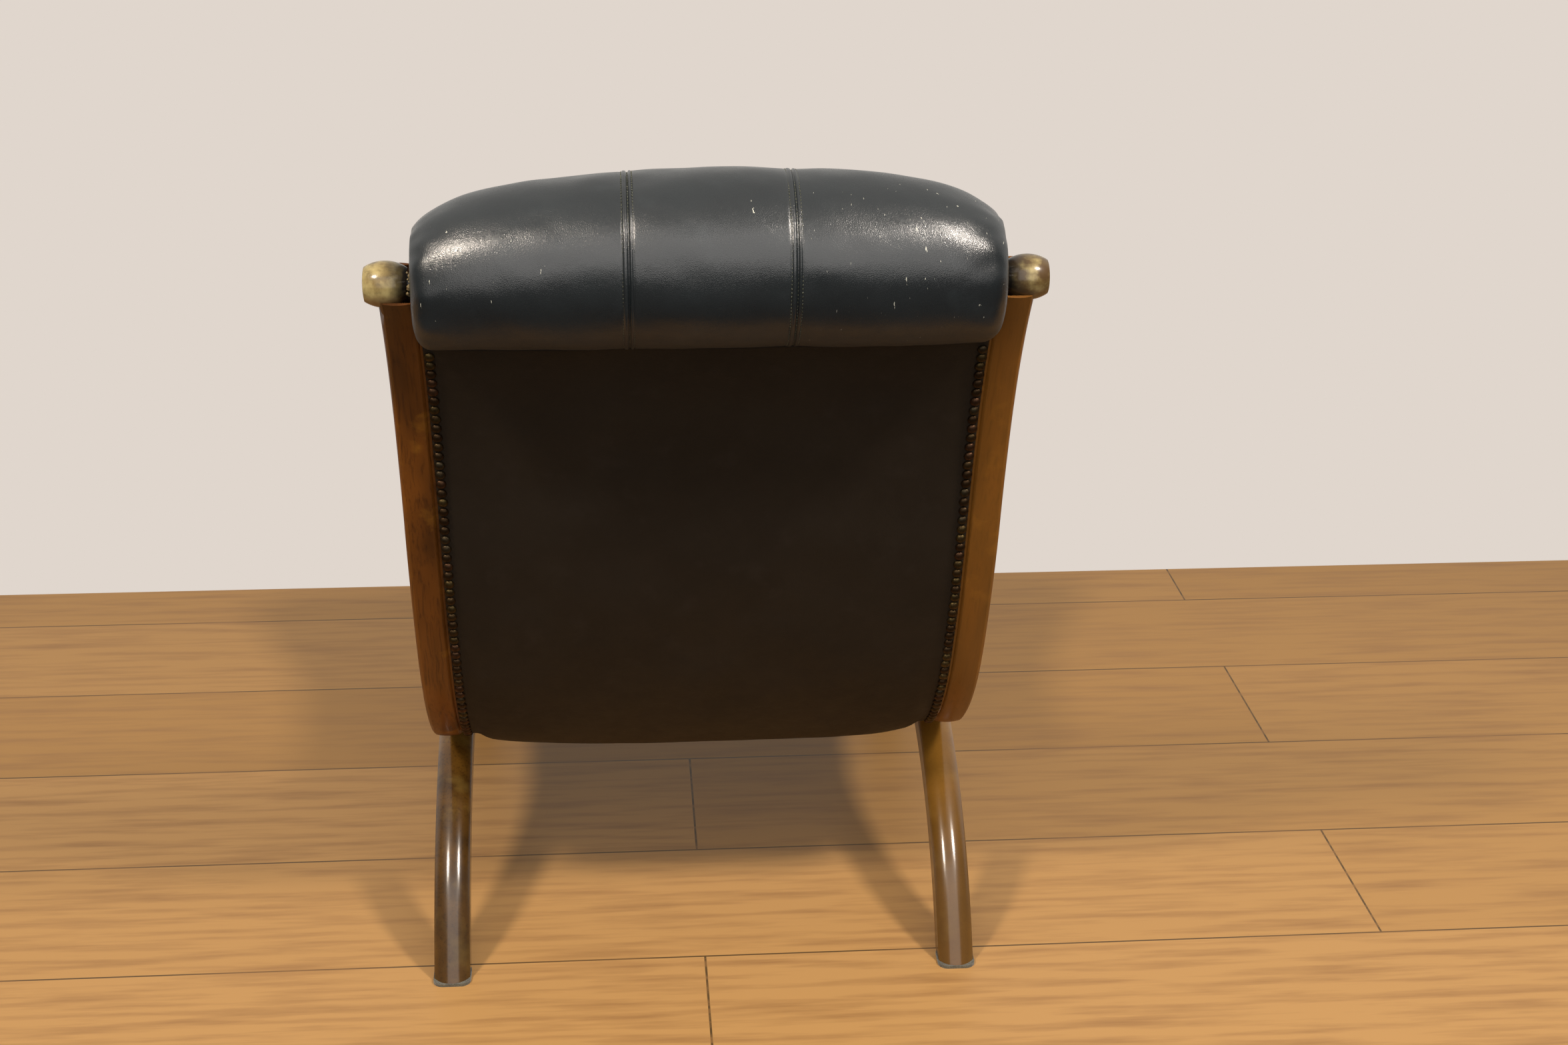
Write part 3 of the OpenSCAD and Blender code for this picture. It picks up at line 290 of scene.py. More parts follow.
def tarnishedBrass(name, look):
    material, tree, shader, place = startMaterial(name)
    each = add(tree, "NewGeometry", {}).outputs["Random Per Island"]
    own = add(tree, "ValToRGB", {0: each})
    ramp, count = own.color_ramp, len(look["heads"])
    ramp.interpolation = "CONSTANT"
    while len(ramp.elements) < count:
        ramp.elements.new(0.5)
    for i, (element, code) in enumerate(zip(ramp.elements, look["heads"])):
        element.position, element.color = i / count, srgb(code)
    blotch = mask(tree, place, **look["blotches"])
    tone = mixColour(tree, blotch, look["brown"], own.outputs["Color"])
    darker = ranged(tree, each, look["darkFrom"], 0.0, look["darkest"])
    feed(tree, shader, {
        "Base Color": mixColour(tree, darker, tone, look["dark"]), "Metallic": 1.0,
        "Roughness": ranged(tree, blotch, (0.0, 1.0), *look["roughness"]),
        "Normal": bump(tree, blotch, look["depth"])})
    return material


# Woven strapping and cloth: plain weave, threads over and under at the spacing given in mm, with
# painted shade in the gaps between the threads.
weaveLook = {
    "jute": {"colour": "#a58a5c", "between": "#6b5531", "thread": 2.2, "depth": 0.5},
    "cambric": {"colour": "#2a2a2b", "between": "#121213", "thread": 1.2, "depth": 0.12},
    "waveScale": 0.159,  # one wave of the texture for a thread over and a thread under
    "warp": (6, 0.3),
}


def plainWeave(name, look):
    material, tree, shader, place = startMaterial(name)
    scale = weaveLook["waveScale"] / (look["thread"] * mm)
    waves = [add(tree, "TexWave", {"Vector": warped(tree, place, *weaveLook["warp"]),
                                   "Scale": scale}, bands_direction=way).outputs["Fac"]
             for way in ("X", "Y")]
    weave = maths(tree, "MULTIPLY", *waves)
    # the darker colour between the threads is painted shade
    feed(tree, shader, {"Base Color": mixColour(tree, weave, look["between"], look["colour"]),
                        "Normal": bump(tree, weave, look["depth"]), "Roughness": 0.9})
    return material


# Beech as sawn and planed for the hidden frame: pale pinkish, with short dark rays.
sawnGrain = dict(size=2.4, levels=(0.35, 0.7), stretch=(0.04, 1, 1), detail=4)
frameLook = {
    "colour": "#c9a77c", "relief": sawnGrain, "depth": 0.15, "roughness": 0.7,
    "over": [("#a98357", sawnGrain),
             ("#8a6540", dict(size=1.4, levels=(0.62, 0.68), stretch=(0.25, 1, 1)))],
}
# Pressed wool felt under the feet: grey-olive, matt and hairy, grubby in patches.
hairs = dict(size=0.9, levels=(0.3, 0.7), detail=6)
feltLook = {
    "colour": "#3c382c", "relief": hairs, "depth": 0.3, "roughness": 0.95, "sheen": 0.4,
    "over": [("#6d6a58", hairs), ("#3c382c", dict(size=12, levels=(0.45, 0.7)))],
}
# Bonded polyester thread, dark olive grey, with a faint shine and painted glints: paler flecks
# along its twist.
twistAndGlints = dict(size=0.8, levels=(0.4, 0.7), turn=(0.5, 0.5, 0))
threadLook = {
    "colour": "#282a22", "relief": twistAndGlints, "depth": 0.1, "roughness": 0.35,
    # the paler colour over the twist is a painted glint
    "over": [("#6c6e5a", twistAndGlints)],
}
# Hide glue, dried pale amber, dirty in places.
glueLook = {
    "colour": "#93815a", "relief": dict(size=1.2, levels=(0.3, 0.7)), "depth": 0.2,
    "roughness": 0.38, "over": [("#4c3a22", dict(size=5, levels=(0.42, 0.66), detail=4))],
}


# A material with tones laid over one another by masks, and a relief.
def layered(name, look):
    material, tree, shader, place = startMaterial(name)
    tone = look["colour"]
    for colour, pattern in look["over"]:
        tone = mixColour(tree, mask(tree, place, **pattern), tone, colour)
    relief = bump(tree, mask(tree, place, **look["relief"]), look["depth"])
    feed(tree, shader, {"Base Color": tone, "Normal": relief, "Roughness": look["roughness"],
                        "Sheen Weight": look.get("sheen", 0.0)})
    return material


hide = pigmentedHide("pigmentedCowhide", hideLook)
shadedDullHide = pigmentedHide("pigmentedCowhideShadedDull", shadedDullHideLook, scuffed=False)
railWood = varnishedBeech("varnishedBeechRails", railLook)
legWood = varnishedBeech("varnishedBeechLegs", legLook)
knobWood = varnishedBeech("varnishedBeechTurned", knobLook)
brass = tarnishedBrass("tarnishedBrass", brassLook)
jute = plainWeave("juteWebbing", weaveLook["jute"])
cambric = plainWeave("cambricCloth", weaveLook["cambric"])
bareBeech = layered("planedBeech", frameLook)
felt = layered("pressedFelt", feltLook)
thread = layered("bondedThread", threadLook)
driedGlue = layered("driedHideGlue", glueLook)
print("materials ready")

# The side curve, as in the CAD: millimetres in side view, from the rails' lowest point.
side = {
    "low": (-14.5, 187.0),  # y and z of the lowest point
    "back": [(620, 6.5), (130, 33), (290, 27), (880, 11.5), (1020, -7), (460, -17)],  # radius, turn
    "front": [(620, 13), (300, 36), (160, -24)],
    "depth": 44.0, "ledgeStep": 4.0, "ledge": 40.0, "railInside": 209.0,
    "softGap": 0.3, "tuckPart": 0.8,
    "rollGap": 2.0,  # between a roll and the leather that ends under it
}


def runOf(stretch):
    return stretch[0] * math.radians(abs(stretch[1]))


def curveLength(curve):
    return sum(runOf(stretch) for stretch in curve)


# Point and heading (radians) on a curve at distance s, moved in by a depth towards the sitter.
def along(curve, s, depth=0.0):
    p, q, heading = 0.0, 0.0, 0.0
    for i, (radius, turn) in enumerate(curve):
        run = runOf((radius, turn))
        bend = math.copysign(1, turn)
        part = s if s <= run or i == len(curve) - 1 else run
        centre = (p - bend * radius * math.sin(heading), q + bend * radius * math.cos(heading))
        heading += bend * part / radius
        p = centre[0] + bend * radius * math.sin(heading)
        q = centre[1] - bend * radius * math.cos(heading)
        s -= part
        if s <= 0:
            break
    return np.array([p, q]) + depth * inwards(heading), heading


# The same curve drawn at a depth towards the sitter.
def deeper(curve, depth):
    return [(radius - math.copysign(1, turn) * depth, turn) for radius, turn in curve]


def inwards(heading):
    return np.array([-math.sin(heading), math.cos(heading)])


def onwards(heading):
    return np.array([math.cos(heading), math.sin(heading)])


# Side-view points (p, q) and widths w as points of the chair, in mm. way is 1 at the back and -1
# in front.
def toChair(flat, w, way):
    flat = np.asarray(flat, float)
    w, (y, z) = np.broadcast_to(w, flat.shape[:-1]), side["low"]
    return np.stack([w, y + way * flat[..., 0], z + flat[..., 1]], axis=-1)


# The same for directions.
def directionInChair(flat, way):
    return toChair(flat, 0.0, way) - toChair((0, 0), 0.0, way)


def unit(vector):
    return vector / np.linalg.norm(vector)


def smooth(x):
    x = np.clip(x, 0, 1)
    return x * x * (3 - 2 * x)


def bell(x, spread):
    return np.exp(-(x / spread) ** 2)


# Soft unevenness from about -1 to 1 that is the same each time: waves about size mm long.
waviness = {"waves": 24, "lengths": (0.7, 1.8), "level": 1.4}


def unevenness(points, size, seed, stretch=(1, 1, 1)):
    draw = np.random.default_rng(seed)
    total = np.zeros(points.shape[:-1])
    for _ in range(waviness["waves"]):
        direction = unit(draw.normal(size=3))
        pace = 2 * math.pi / (size * draw.uniform(*waviness["lengths"]))
        phase = draw.uniform(0, 2 * math.pi)
        total += np.sin((points * (direction * pace / np.array(stretch))).sum(-1) + phase)
    return total / math.sqrt(waviness["waves"]) / waviness["level"]


# Layers of it: the size and height of each, and what it adds to the seed.
def uneven(points, layers, seed):
    return sum(unevenness(points, size, seed + extra) * height for size, height, extra in layers)


# Faces of a closed skin through rings of points, with a cap at each end.
def ringFaces(count, around):
    a = np.arange(count - 1)[:, None] * around + np.arange(around)[None, :]
    b = np.arange(count - 1)[:, None] * around + (np.arange(around)[None, :] + 1) % around
    faces = np.stack([a, b, b + around, a + around], axis=-1).reshape(-1, 4).tolist()
    first, last = list(range(around)), list(range((count - 1) * around, count * around))
    return faces + [first[::-1], last]


def pieceFrom(name, points, faces, material, slot):
    mesh = bpy.data.meshes.new(name)
    mesh.from_pydata((np.asarray(points) * mm).tolist(), [], faces)
    shaped = bmesh.new()
    shaped.from_mesh(mesh)
    bmesh.ops.recalc_face_normals(shaped, faces=shaped.faces)
    shaped.to_mesh(mesh)
    shaped.free()
    mesh.shade_smooth()
    mesh.materials.append(material)
    piece = bpy.data.objects.new(name, mesh)
    scene.collection.objects.link(piece)
    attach(piece, "root")
    return piece


# A stuffed piece: a closed skin through rings of points in mm.
def paddedPiece(name, rings, material, replaced):
    faces = ringFaces(*rings.shape[:2])
    piece = pieceFrom(name, rings.reshape(-1, 3), faces, material, "leather")
    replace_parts(piece, *replaced)


# Many small closed bodies in one piece, each with the same rings of points in mm.
def manyBodies(name, bodies, material, slot):
    bodies = np.array(bodies)
    own = ringFaces(*bodies.shape[1:3])
    points = bodies.reshape(-1, 3)
    starts = range(0, len(points), len(points) // len(bodies))
    faces = [[start + i for i in face] for start in starts for face in own]
    return pieceFrom(name, points, faces, material, slot)


def circle(centre, radius, first, second, around):
    turns = 2 * math.pi * np.arange(around)[:, None] / around
    return centre + radius * (np.cos(turns) * first + np.sin(turns) * second)


# Seams: two panels joined and stitched down, a raised strip with a groove and three rows of
# thread. Both seams are sewn the same way round, so their rows aren't mirrored.
seam = {
    "at": 67.0, "rows": (4.5, -0.6, -4.3), "strip": (0.7, 6.0, 1.4),  # height, half width, slope
    "groove": (2.0, 1.0), "pull": (1.2, 0.9),  # depth and width, at the middle and outer rows
    "pitch": 3.4, "stitch": 2.4, "thread": 0.75, "sides": 6,
    # the rings of a stitch: place along it, width, and lift in widths of the thread
    "rings": ((0, 0.35, -0.35), (0.2, 0.9, 0.05), (0.5, 1.0, 0.25), (0.8, 0.9, 0.05),
              (1, 0.35, -0.35)),
    "fine": (8.0, 0.7), "coarse": (10.0, 5.0),  # points within and beyond this reach, and step
}


# Height added at distance d from a seam's middle: raised strip, groove, and the stitches' pull.
def seamHeight(d):
    height, half, slope = seam["strip"]
    strip = height * smooth((half - np.abs(d)) / slope)
    (deep, wide), (pull, reach) = seam["groove"], seam["pull"]
    first, middle, last = (bell(d - row, width)
                           for row, width in zip(seam["rows"], (reach, wide, reach)))
    return strip - deep * middle - pull * (first + last)


# Distance from the nearer seam's middle, the same way round at both.
def fromSeam(w):
    return w - np.copysign(seam["at"], w)


# Widths from the middle outward, close together at the seam.
def widthMarks(end):
    (near, fine), (far, step) = seam["fine"], seam["coarse"]
    close = np.arange(-near, near + 0.01, fine) + seam["at"]
    coarse = [w for w in np.arange(0, end, step) if abs(w - seam["at"]) > far]
    return np.array(sorted(set(np.round(np.concatenate([coarse, close, [end]]), 3))))


# Stitches along paths: each path is a list of (point, outward normal) in mm.
def sewRows(name, paths):
    stitches = []
    for path in paths:
        place, normal = (np.array(part) for part in zip(*path))
        steps = np.linalg.norm(np.diff(place, axis=0), axis=1)
        run = np.concatenate([[0], np.cumsum(steps)])
        for s in np.arange(seam["pitch"], run[-1] - seam["pitch"], seam["pitch"]):
            half = seam["stitch"] / 2
            up, start, end = (np.array([np.interp(u, run, values[:, k]) for k in range(3)])
                              for u, values in ((s, normal), (s - half, place), (s + half, place)))
            up = unit(up)
            across = unit(np.cross(up, end - start))
            stitches.append([
                circle(start + part * (end - start) + up * lift * seam["thread"],
                       seam["thread"] / 2 * width, across, up, seam["sides"])
                for part, width, lift in seam["rings"]])
    manyBodies(name, stitches, thread, "leather")


# The two stuffed rolls: one round the top of the back, one along the front of the seat. The top
# one is a little fuller towards its right end and hangs a little at the left, as photographed.
rollShape = {
    "top": {"way": 1, "curve": side["back"], "radius": 74.0, "in": 15.0, "on": 11.0, "pad": 52.0,
            "fullness": 1.0, "power": (2.95, 2.55), "hang": (1.0, 3.4), "from": 200,
            "soft": ((70, 0.72, 0), (26, 0.25, 1))},
    "nose": {"way": -1, "curve": side["front"], "radius": 46.0, "in": 12.0, "on": 4.0, "pad": 40.0,
             "fullness": 0.6, "power": (2.6, 2.6), "hang": (0.5, 0.5), "from": 150,
             "soft": ((70, 0.48, 0), (26, 0.25, 1))},
    "half": 241.0, "pillowHalf": 248.0, "endRound": 14.0, "around": 240, "rim": 16.0,
    "rimMarks": (0.12, 1, 12),
    "padArc": math.radians(88), "padBlend": 14, "hangAt": (132, 48),  # width and spread
    "valley": (1.5, 0.4, 20),  # depth, part of it that is left below, and width
    "softSeed": 5, "pleatSeed": 9, "pleat": 20, "pleatStretch": (3, 1, 1), "pleatHeight": 0.9,
    "pleatDrawn": 0.5, "pleatFrom": 200, "pleatOver": 40,
    # the ends drawn in to the bar: the rings' sizes, and the folds
    "gather": (0.985, 0.95, 0.88, 0.78, 0.66, 0.54, 0.42, 0.3, 0.2), "folds": 17, "foldDepth": 1.3,
    "foldLeast": 0.2, "foldRun": 1.15,
}


# The station whose plane just touches a roll.
def neckStation(curve, centre, radius, low, high):
    while high - low >= 0.01:
        middle = (low + high) / 2
        at, heading = along(curve, middle)
        if (centre - at) @ onwards(heading) > radius + side["softGap"]:
            low = middle
        else:
            high = middle
    return low


class Roll:
    def __init__(self, look):
        curve = look["curve"]
        end, heading = along(curve, curveLength(curve))
        self.look = look
        self.knob = end + side["depth"] / 2 * inwards(heading)
        self.centre = self.knob + look["in"] * inwards(heading) + look["on"] * onwards(heading)
        self.neckAt = neckStation(curve, self.centre, look["radius"], look["from"],
                                  curveLength(curve))
        neckPoint, self.neck = along(curve, self.neckAt)
        depth = float((self.centre - neckPoint) @ inwards(self.neck))
        self.reach = side["ledge"] + look["pad"] - depth

    # Radius in direction a (radians) at width w.
    def radius(self, a, w):
        look, shape, r = self.look, rollShape, self.look["radius"]
        # towards the sitter the roll is filled out to the pad's top
        off = (self.neck - a) % (2 * math.pi) - math.pi
        inside = (off > 0) & (off < shape["padArc"])
        safe = np.where(inside, off, 0.5)
        soft = shape["padBlend"]
        filled = (r / np.cos(safe)) ** -soft + (self.reach / np.sin(safe)) ** -soft
        full = np.where(inside, np.maximum(r, filled ** (-1 / soft)), r)
        # it falls towards its ends like a pillow above, and is only rounded off below
        up, far = (1 + np.sin(a)) / 2, np.abs(w)
        power = np.where(w < 0, *look["power"])
        fall = np.minimum(far / shape["pillowHalf"], 1) ** power
        pillow = r * (1 - (1 - fall) ** (1 / power))
        hangAt, spread = shape["hangAt"]
        pillow = pillow + np.where(w < 0, *look["hang"]) * bell(far - hangAt, spread)
        end = shape["endRound"]
        q = np.clip((far - shape["half"] + end) / end, 0, 1)
        drop = look["fullness"] * up * pillow + (1 - up) * end * (1 - np.sqrt(1 - q * q))
        d = fromSeam(w)
        deep, least, wide = shape["valley"]
        valley = deep * (least + (1 - least) * up) * bell(d, wide)
        return full - drop - valley + seamHeight(d)

    def point(self, a, w):
        r = self.radius(a, w)
        flat = np.stack([self.centre[0] + r * np.cos(a), self.centre[1] + r * np.sin(a)], axis=-1)
        return toChair(flat, w, self.look["way"])


def makeRoll(name, look, replaced):
    roll, shape = Roll(look), rollShape
    half, inner = shape["half"], shape["half"] - shape["rim"]
    rounding = np.sin(np.linspace(*shape["rimMarks"]) * math.pi / 2)
    marks = np.concatenate([widthMarks(inner), inner + shape["rim"] * rounding])
    widths = np.concatenate([-marks[:0:-1], marks])
    angles = np.linspace(0, 2 * math.pi, shape["around"], endpoint=False)
    rings = np.array([roll.point(angles, np.full_like(angles, w)) for w in widths])
    outward = rings - toChair(roll.centre, 0.0, look["way"])
    outward[..., 0] = 0
    outward /= np.linalg.norm(outward, axis=-1, keepdims=True)
    soft = uneven(rings, look["soft"], shape["softSeed"])
    near = smooth((np.abs(rings[..., 0]) - shape["pleatFrom"]) / shape["pleatOver"])
    pleats = unevenness(rings, shape["pleat"], shape["pleatSeed"], shape["pleatStretch"])
    pleats = near * (pleats * shape["pleatHeight"] - shape["pleatDrawn"])
    rings = rings + outward * (soft + pleats)[..., None]
    rings[..., 0] = np.clip(rings[..., 0], -half, half)
    waves = (1 + np.sin(angles * shape["folds"] + 2 * np.sin(angles * 3))) / 2
    folds = shape["foldLeast"] + (1 - shape["foldLeast"]) * waves
    ends = []
    for rim in (rings[0], rings[-1]):
        hub = toChair(roll.knob, rim[0, 0], look["way"])
        drawnIn = np.array([hub + (rim - hub) * u for u in shape["gather"]])
        for ring, u in zip(drawnIn, shape["gather"]):
            part = min(1, (1 - u) * shape["foldRun"])
            fold = shape["foldDepth"] * math.sin(math.pi * part) * folds
            ring[:, 0] = rim[:, 0] - math.copysign(1, rim[0, 0]) * np.abs(fold)
        ends.append(drawnIn)
    paddedPiece(name, np.concatenate([ends[0][::-1], rings, ends[1]]), hide, replaced)
    return roll


topRoll = makeRoll("topRoll", rollShape["top"], ["top_roll", "top_roll_core"])
noseRoll = makeRoll("frontRoll", rollShape["nose"], ["front_roll", "front_roll_core"])
print("rolls ready")

# The stuffing presses the hide out between its seams and edges. A coarse copy of the pad, held
# there, is blown up as cloth, and the pad's own points move as the copy's nearest points do.
pressing = {
    "voxel": 6.0, "pressure": 4.0, "frames": 20, "near": 8,
    "smaller": 2.0, "cap": 5.0,  # how much lower the pad starts, and how far it may move
    "seamHold": 5.0, "endHold": 22.0, "freeFrom": 0.35,  # what is held, in mm or by height
}


def finderOf(points):
    finder = KDTree(len(points))
    for i, point in enumerate(points):
        finder.insert(point, i)
    finder.balance()
    return finder


def evaluated(piece):
    return piece.evaluated_get(bpy.context.evaluated_depsgraph_get())


def pointsOf(mesh):
    return np.array([vertex.co[:] for vertex in mesh.vertices]) / mm


def pressOut(rings, free):
    count, around = rings.shape[:2]
    points = rings.reshape(-1, 3)
    mesh = bpy.data.meshes.new("pressed")
    mesh.from_pydata((points * mm).tolist(), [], ringFaces(count, around))
    copy = bpy.data.objects.new("pressed", mesh)
    scene.collection.objects.link(copy)
    remesh = copy.modifiers.new("remesh", "REMESH")
    remesh.mode, remesh.voxel_size = "VOXEL", pressing["voxel"] * mm
    coarse = bpy.data.meshes.new_from_object(evaluated(copy))
    copy.modifiers.clear()
    copy.data = coarse
    before = pointsOf(coarse)
    steps = np.linalg.norm(np.diff(rings.mean(axis=1), axis=0), axis=1)
    run = np.concatenate([[0], np.cumsum(steps)])
    finder, held = finderOf(points), []
    for i, point in enumerate(before):
        row, column = divmod(finder.find(point)[1], around)
        atEnd = min(run[row], run[-1] - run[row]) < pressing["endHold"]
        atSeam = abs(abs(point[0]) - seam["at"]) < pressing["seamHold"]
        if atEnd or atSeam or free[column] < pressing["freeFrom"]:
            held.append(i)
    copy.vertex_groups.new(name="held").add(held, 1.0, "REPLACE")
    cloth = copy.modifiers.new("cloth", "CLOTH")
    cloth.settings.vertex_group_mass = "held"
    cloth.settings.use_pressure = True
    cloth.settings.uniform_pressure_force = pressing["pressure"]
    cloth.settings.effector_weights.gravity = 0
    cloth.point_cache.frame_start, cloth.point_cache.frame_end = 1, pressing["frames"]
    for step in range(1, pressing["frames"] + 1):
        scene.frame_set(step)
    move = pointsOf(evaluated(copy).data) - before
    scene.frame_set(1)
    bpy.data.objects.remove(copy)
    bpy.data.meshes.remove(coarse)
    bpy.data.meshes.remove(mesh)
    size = np.linalg.norm(move, axis=1, keepdims=True)
    move *= np.minimum(1, pressing["cap"] / np.maximum(size, 1e-6))
    finder, shift = finderOf(before), np.zeros_like(points)
    for k, point in enumerate(points):
        found = finder.find_n(point, pressing["near"])
        weights = np.array([1 / (distance + 1) ** 2 for _, _, distance in found])
        near = move[[i for _, i, _ in found]]
        shift[k] = (near * weights[:, None]).sum(axis=0) / weights.sum()
    return rings + shift.reshape(rings.shape)


# Inside back and seat: crowned pads in three channels.
padShape = {
    "half": 236.0, "edge": 20.0, "sideFrom": 228.0, "sideEase": 2.2, "widest": 238.4,
    "cornerMarks": (0, 1, 14), "sideMarks": (0, 1, 12), "tuckGap": 0.2,
    "low": 4.2, "swell": 3.6, "fall": 4.0, "fallFrom": 0.35,  # the crown between the seams
    # the nailed edge and the underside over the straps: width and height
    "foot": [(228.1, 2.6), (229, 1.9), (233, 2.1), (237.6, 1.9), (238.4, 1.2), (238.4, 0.35),
             (222.6, 0.35), (222, 2.9), (100, 2.9)],
    "step": 7.0, "endSteps": [0.6, 2, 4.5, 8, 13], "endReach": 15,
    "ends": ((26.0, 0.6), (9.0, 0.9)),  # reach and depth of the rounding at the start and end
    "backHeight": 52.0, "seatFront": 40.0, "seatSag": 32.0, "seatEase": 1.15,
    "soft": ((80, 1.4, 0), (30, 0.35, 1)), "sideways": 0.3,
    "moving": (60.0, 12, 30),  # in a pad this high, it starts here and is full this much above
}


# Half section of a pad of height h: (w, height) from the middle outward and under.
def halfSection(h, sign):
    half, edge, at = padShape["half"], padShape["edge"], seam["at"]
    top = widthMarks(half - edge)
    outer = (top - at) / (half - at)
    swell = np.where(top <= at, 1 - (top / at) ** 4, smooth(outer * 3) * (1 - smooth(outer)))
    height = h - padShape["low"] - pressing["smaller"] + padShape["swell"] * swell
    height = height + seamHeight(fromSeam(sign * np.maximum(top, 0.01)))
    since = (outer - padShape["fallFrom"]) / (1 - padShape["fallFrom"])
    height = height - padShape["fall"] * smooth(since)
    turn = np.linspace(*padShape["cornerMarks"])[1:] * math.pi / 2
    corner = np.stack([half - edge + edge * np.sin(turn), height[-1] - edge * (1 - np.cos(turn))],
                      axis=-1)
    wallTop = height[-1] - edge
    v = np.linspace(*padShape["sideMarks"])[1:]
    wall = np.stack([half - (half - padShape["sideFrom"]) * v ** padShape["sideEase"],
                     wallTop + (padShape["low"] - wallTop) * v], axis=-1)
    return np.concatenate([np.stack([top, height], axis=-1), corner, wall, padShape["foot"]])


def padSection(h):
    other = halfSection(h, -1)[::-1]
    return np.concatenate([halfSection(h, 1), other[other[:, 0] > 0] * np.array([-1, 1])])


def padStations(start, end):
    inner = np.linspace(start, end, max(3, int((end - start) / padShape["step"])))
    inner = inner[(inner > start + padShape["endReach"]) & (inner < end - padShape["endReach"])]
    close = np.array(padShape["endSteps"])
    marks = np.concatenate([inner, start + close, end - close, [start, end]])
    return np.unique(np.round(marks, 3))


def endFall(*gaps):
    fall = 0.0
    for gap, (reach, deep) in zip(gaps, padShape["ends"]):
        if gap < reach:
            fall += reach * deep * (1 - math.sqrt(1 - (1 - max(gap, 0) / reach) ** 2))
    return fall


# A pad's lower and upper point in side view at a station: of the back, and of the seat, which
# starts behind the lowest point and so has stations below 0.
def backLines(s):
    inner, _ = along(side["back"], s, side["ledge"] + side["softGap"])
    outer, _ = along(side["back"], s, side["ledge"] + padShape["backHeight"])
    return inner, outer


def seatLines(u):
    neck, depth = noseRoll.neckAt, side["ledge"]
    base, _ = wholeCurve(u, depth + side["softGap"])
    rear, _ = wholeCurve(side["softGap"] - tuck, depth + padShape["backHeight"])
    nose, _ = wholeCurve(neck, depth + padShape["seatFront"])
    f = ((u + tuck) / (neck + tuck)) ** padShape["seatEase"] if u > -tuck else 0.0
    return base, rear * (1 - f) + nose * f - np.array([0, padShape["seatSag"] * 4 * f * (1 - f)])


# Side-view point and inward direction at u along the whole curve, negative behind the lowest point.
def wholeCurve(u, depth):
    curve, flip = (side["back"], -1) if u < 0 else (side["front"], 1)
    at, heading = along(curve, abs(u), depth)
    turned = np.array([flip, 1])
    return at * turned, inwards(heading) * turned


def makePad(name, lines, start, end, way, replaced, seed):
    rings = []
    for s in padStations(start, end):
        base, top = lines(s)
        section = padSection(float(np.linalg.norm(top - base)) - endFall(s - start, end - s))
        rings.append(toChair(base + section[:, 1:2] * unit(top - base), section[:, 0], way))
    rings = np.array(rings)
    whole, low, over = padShape["moving"]
    free = smooth((padSection(whole)[:, 1] - low) / over)
    lift = uneven(rings, padShape["soft"], seed) * free
    upward = rings - rings.mean(axis=1, keepdims=True)
    upward[..., 0] *= padShape["sideways"]
    upward /= np.linalg.norm(upward, axis=-1, keepdims=True)
    rings = pressOut(rings + upward * lift[..., None], free)
    rings[..., 0] = np.clip(rings[..., 0], -padShape["widest"], padShape["widest"])
    paddedPiece(name, rings, hide, replaced)
    return rings


backJoint, heelRun, bendRun = (runOf(stretch) for stretch in side["back"][:3])
seatFront, tuck = runOf(side["front"][0]), backJoint + heelRun + side["tuckPart"] * bendRun
backRings = makePad("insideBack", backLines, tuck + padShape["tuckGap"],
                    topRoll.neckAt - side["softGap"], 1, ["inside_back", "back_foam"], 21)
seatRings = makePad("seatPad", seatLines, side["softGap"] - tuck, noseRoll.neckAt - side["softGap"],
                    -1, ["seat", "seat_foam"], 31)
print("pads ready")


# Where the leather on the outside ends under a roll.
def underRoll(look):
    beside = look["in"] + side["depth"] / 2
    touching = look["on"] - math.sqrt(look["radius"] ** 2 - beside ** 2)
    return curveLength(look["curve"]) + touching - side["rollGap"]


# The leather over the outside of the frame: flat under the nails, fuller in the middle.
panelShape = {
    "outsideBack": {"way": 1, "curve": side["back"], "from": 9.5, "to": underRoll(rollShape["top"]),
                    "belly": 15.0, "fullAt": backJoint + 0.7 * heelRun, "spread": 95.0,
                    "least": 0.18},
    "frontApron": {"way": -1, "curve": side["front"], "from": seatFront + 0.3,
                   "to": underRoll(rollShape["nose"]), "belly": 3.0, "fullAt": 250.0,
                   "spread": 500.0, "least": 0.9},
    "flat": 228.0, "edge": 238.4, "hide": 1.6, "edgeDrop": 0.7, "under": 0.05,
    "station": 5.0, "step": 6.0, "nearEdge": [225.5, 226.8, 228.0, 229.5, 233, 236.5, 237.8, 238.4],
    "crown": (3.6, 0.6), "crownRise": 14,  # powers, and steepness of the rise from the edge
    "soft": ((90, 0.9, 0, 4), (34, 0.15, 3, 8)),  # layers, each with that steepness as well
    "nailWave": (0.35, 226.8, 4.5),  # between the nails: height, width, spread
}
nails = {
    "across": 9.4, "height": 3.0, "pitch": 10.2, "width": 233.7, "around": 18, "fromEnd": 8.0,
    "inFromLedge": 2.3,
    "profile": [(1.0, -0.15), (1.0, 0.12), (0.97, 0.3), (0.86, 0.56), (0.66, 0.8), (0.4, 0.95),
                (0.15, 1.0)],
    # how much they differ: place, tilt, size and height
    "astray": (-0.25, 0.25), "tilt": (-0.07, 0.07), "sizes": (0.965, 1.0), "heights": (0.9, 1.0),
}


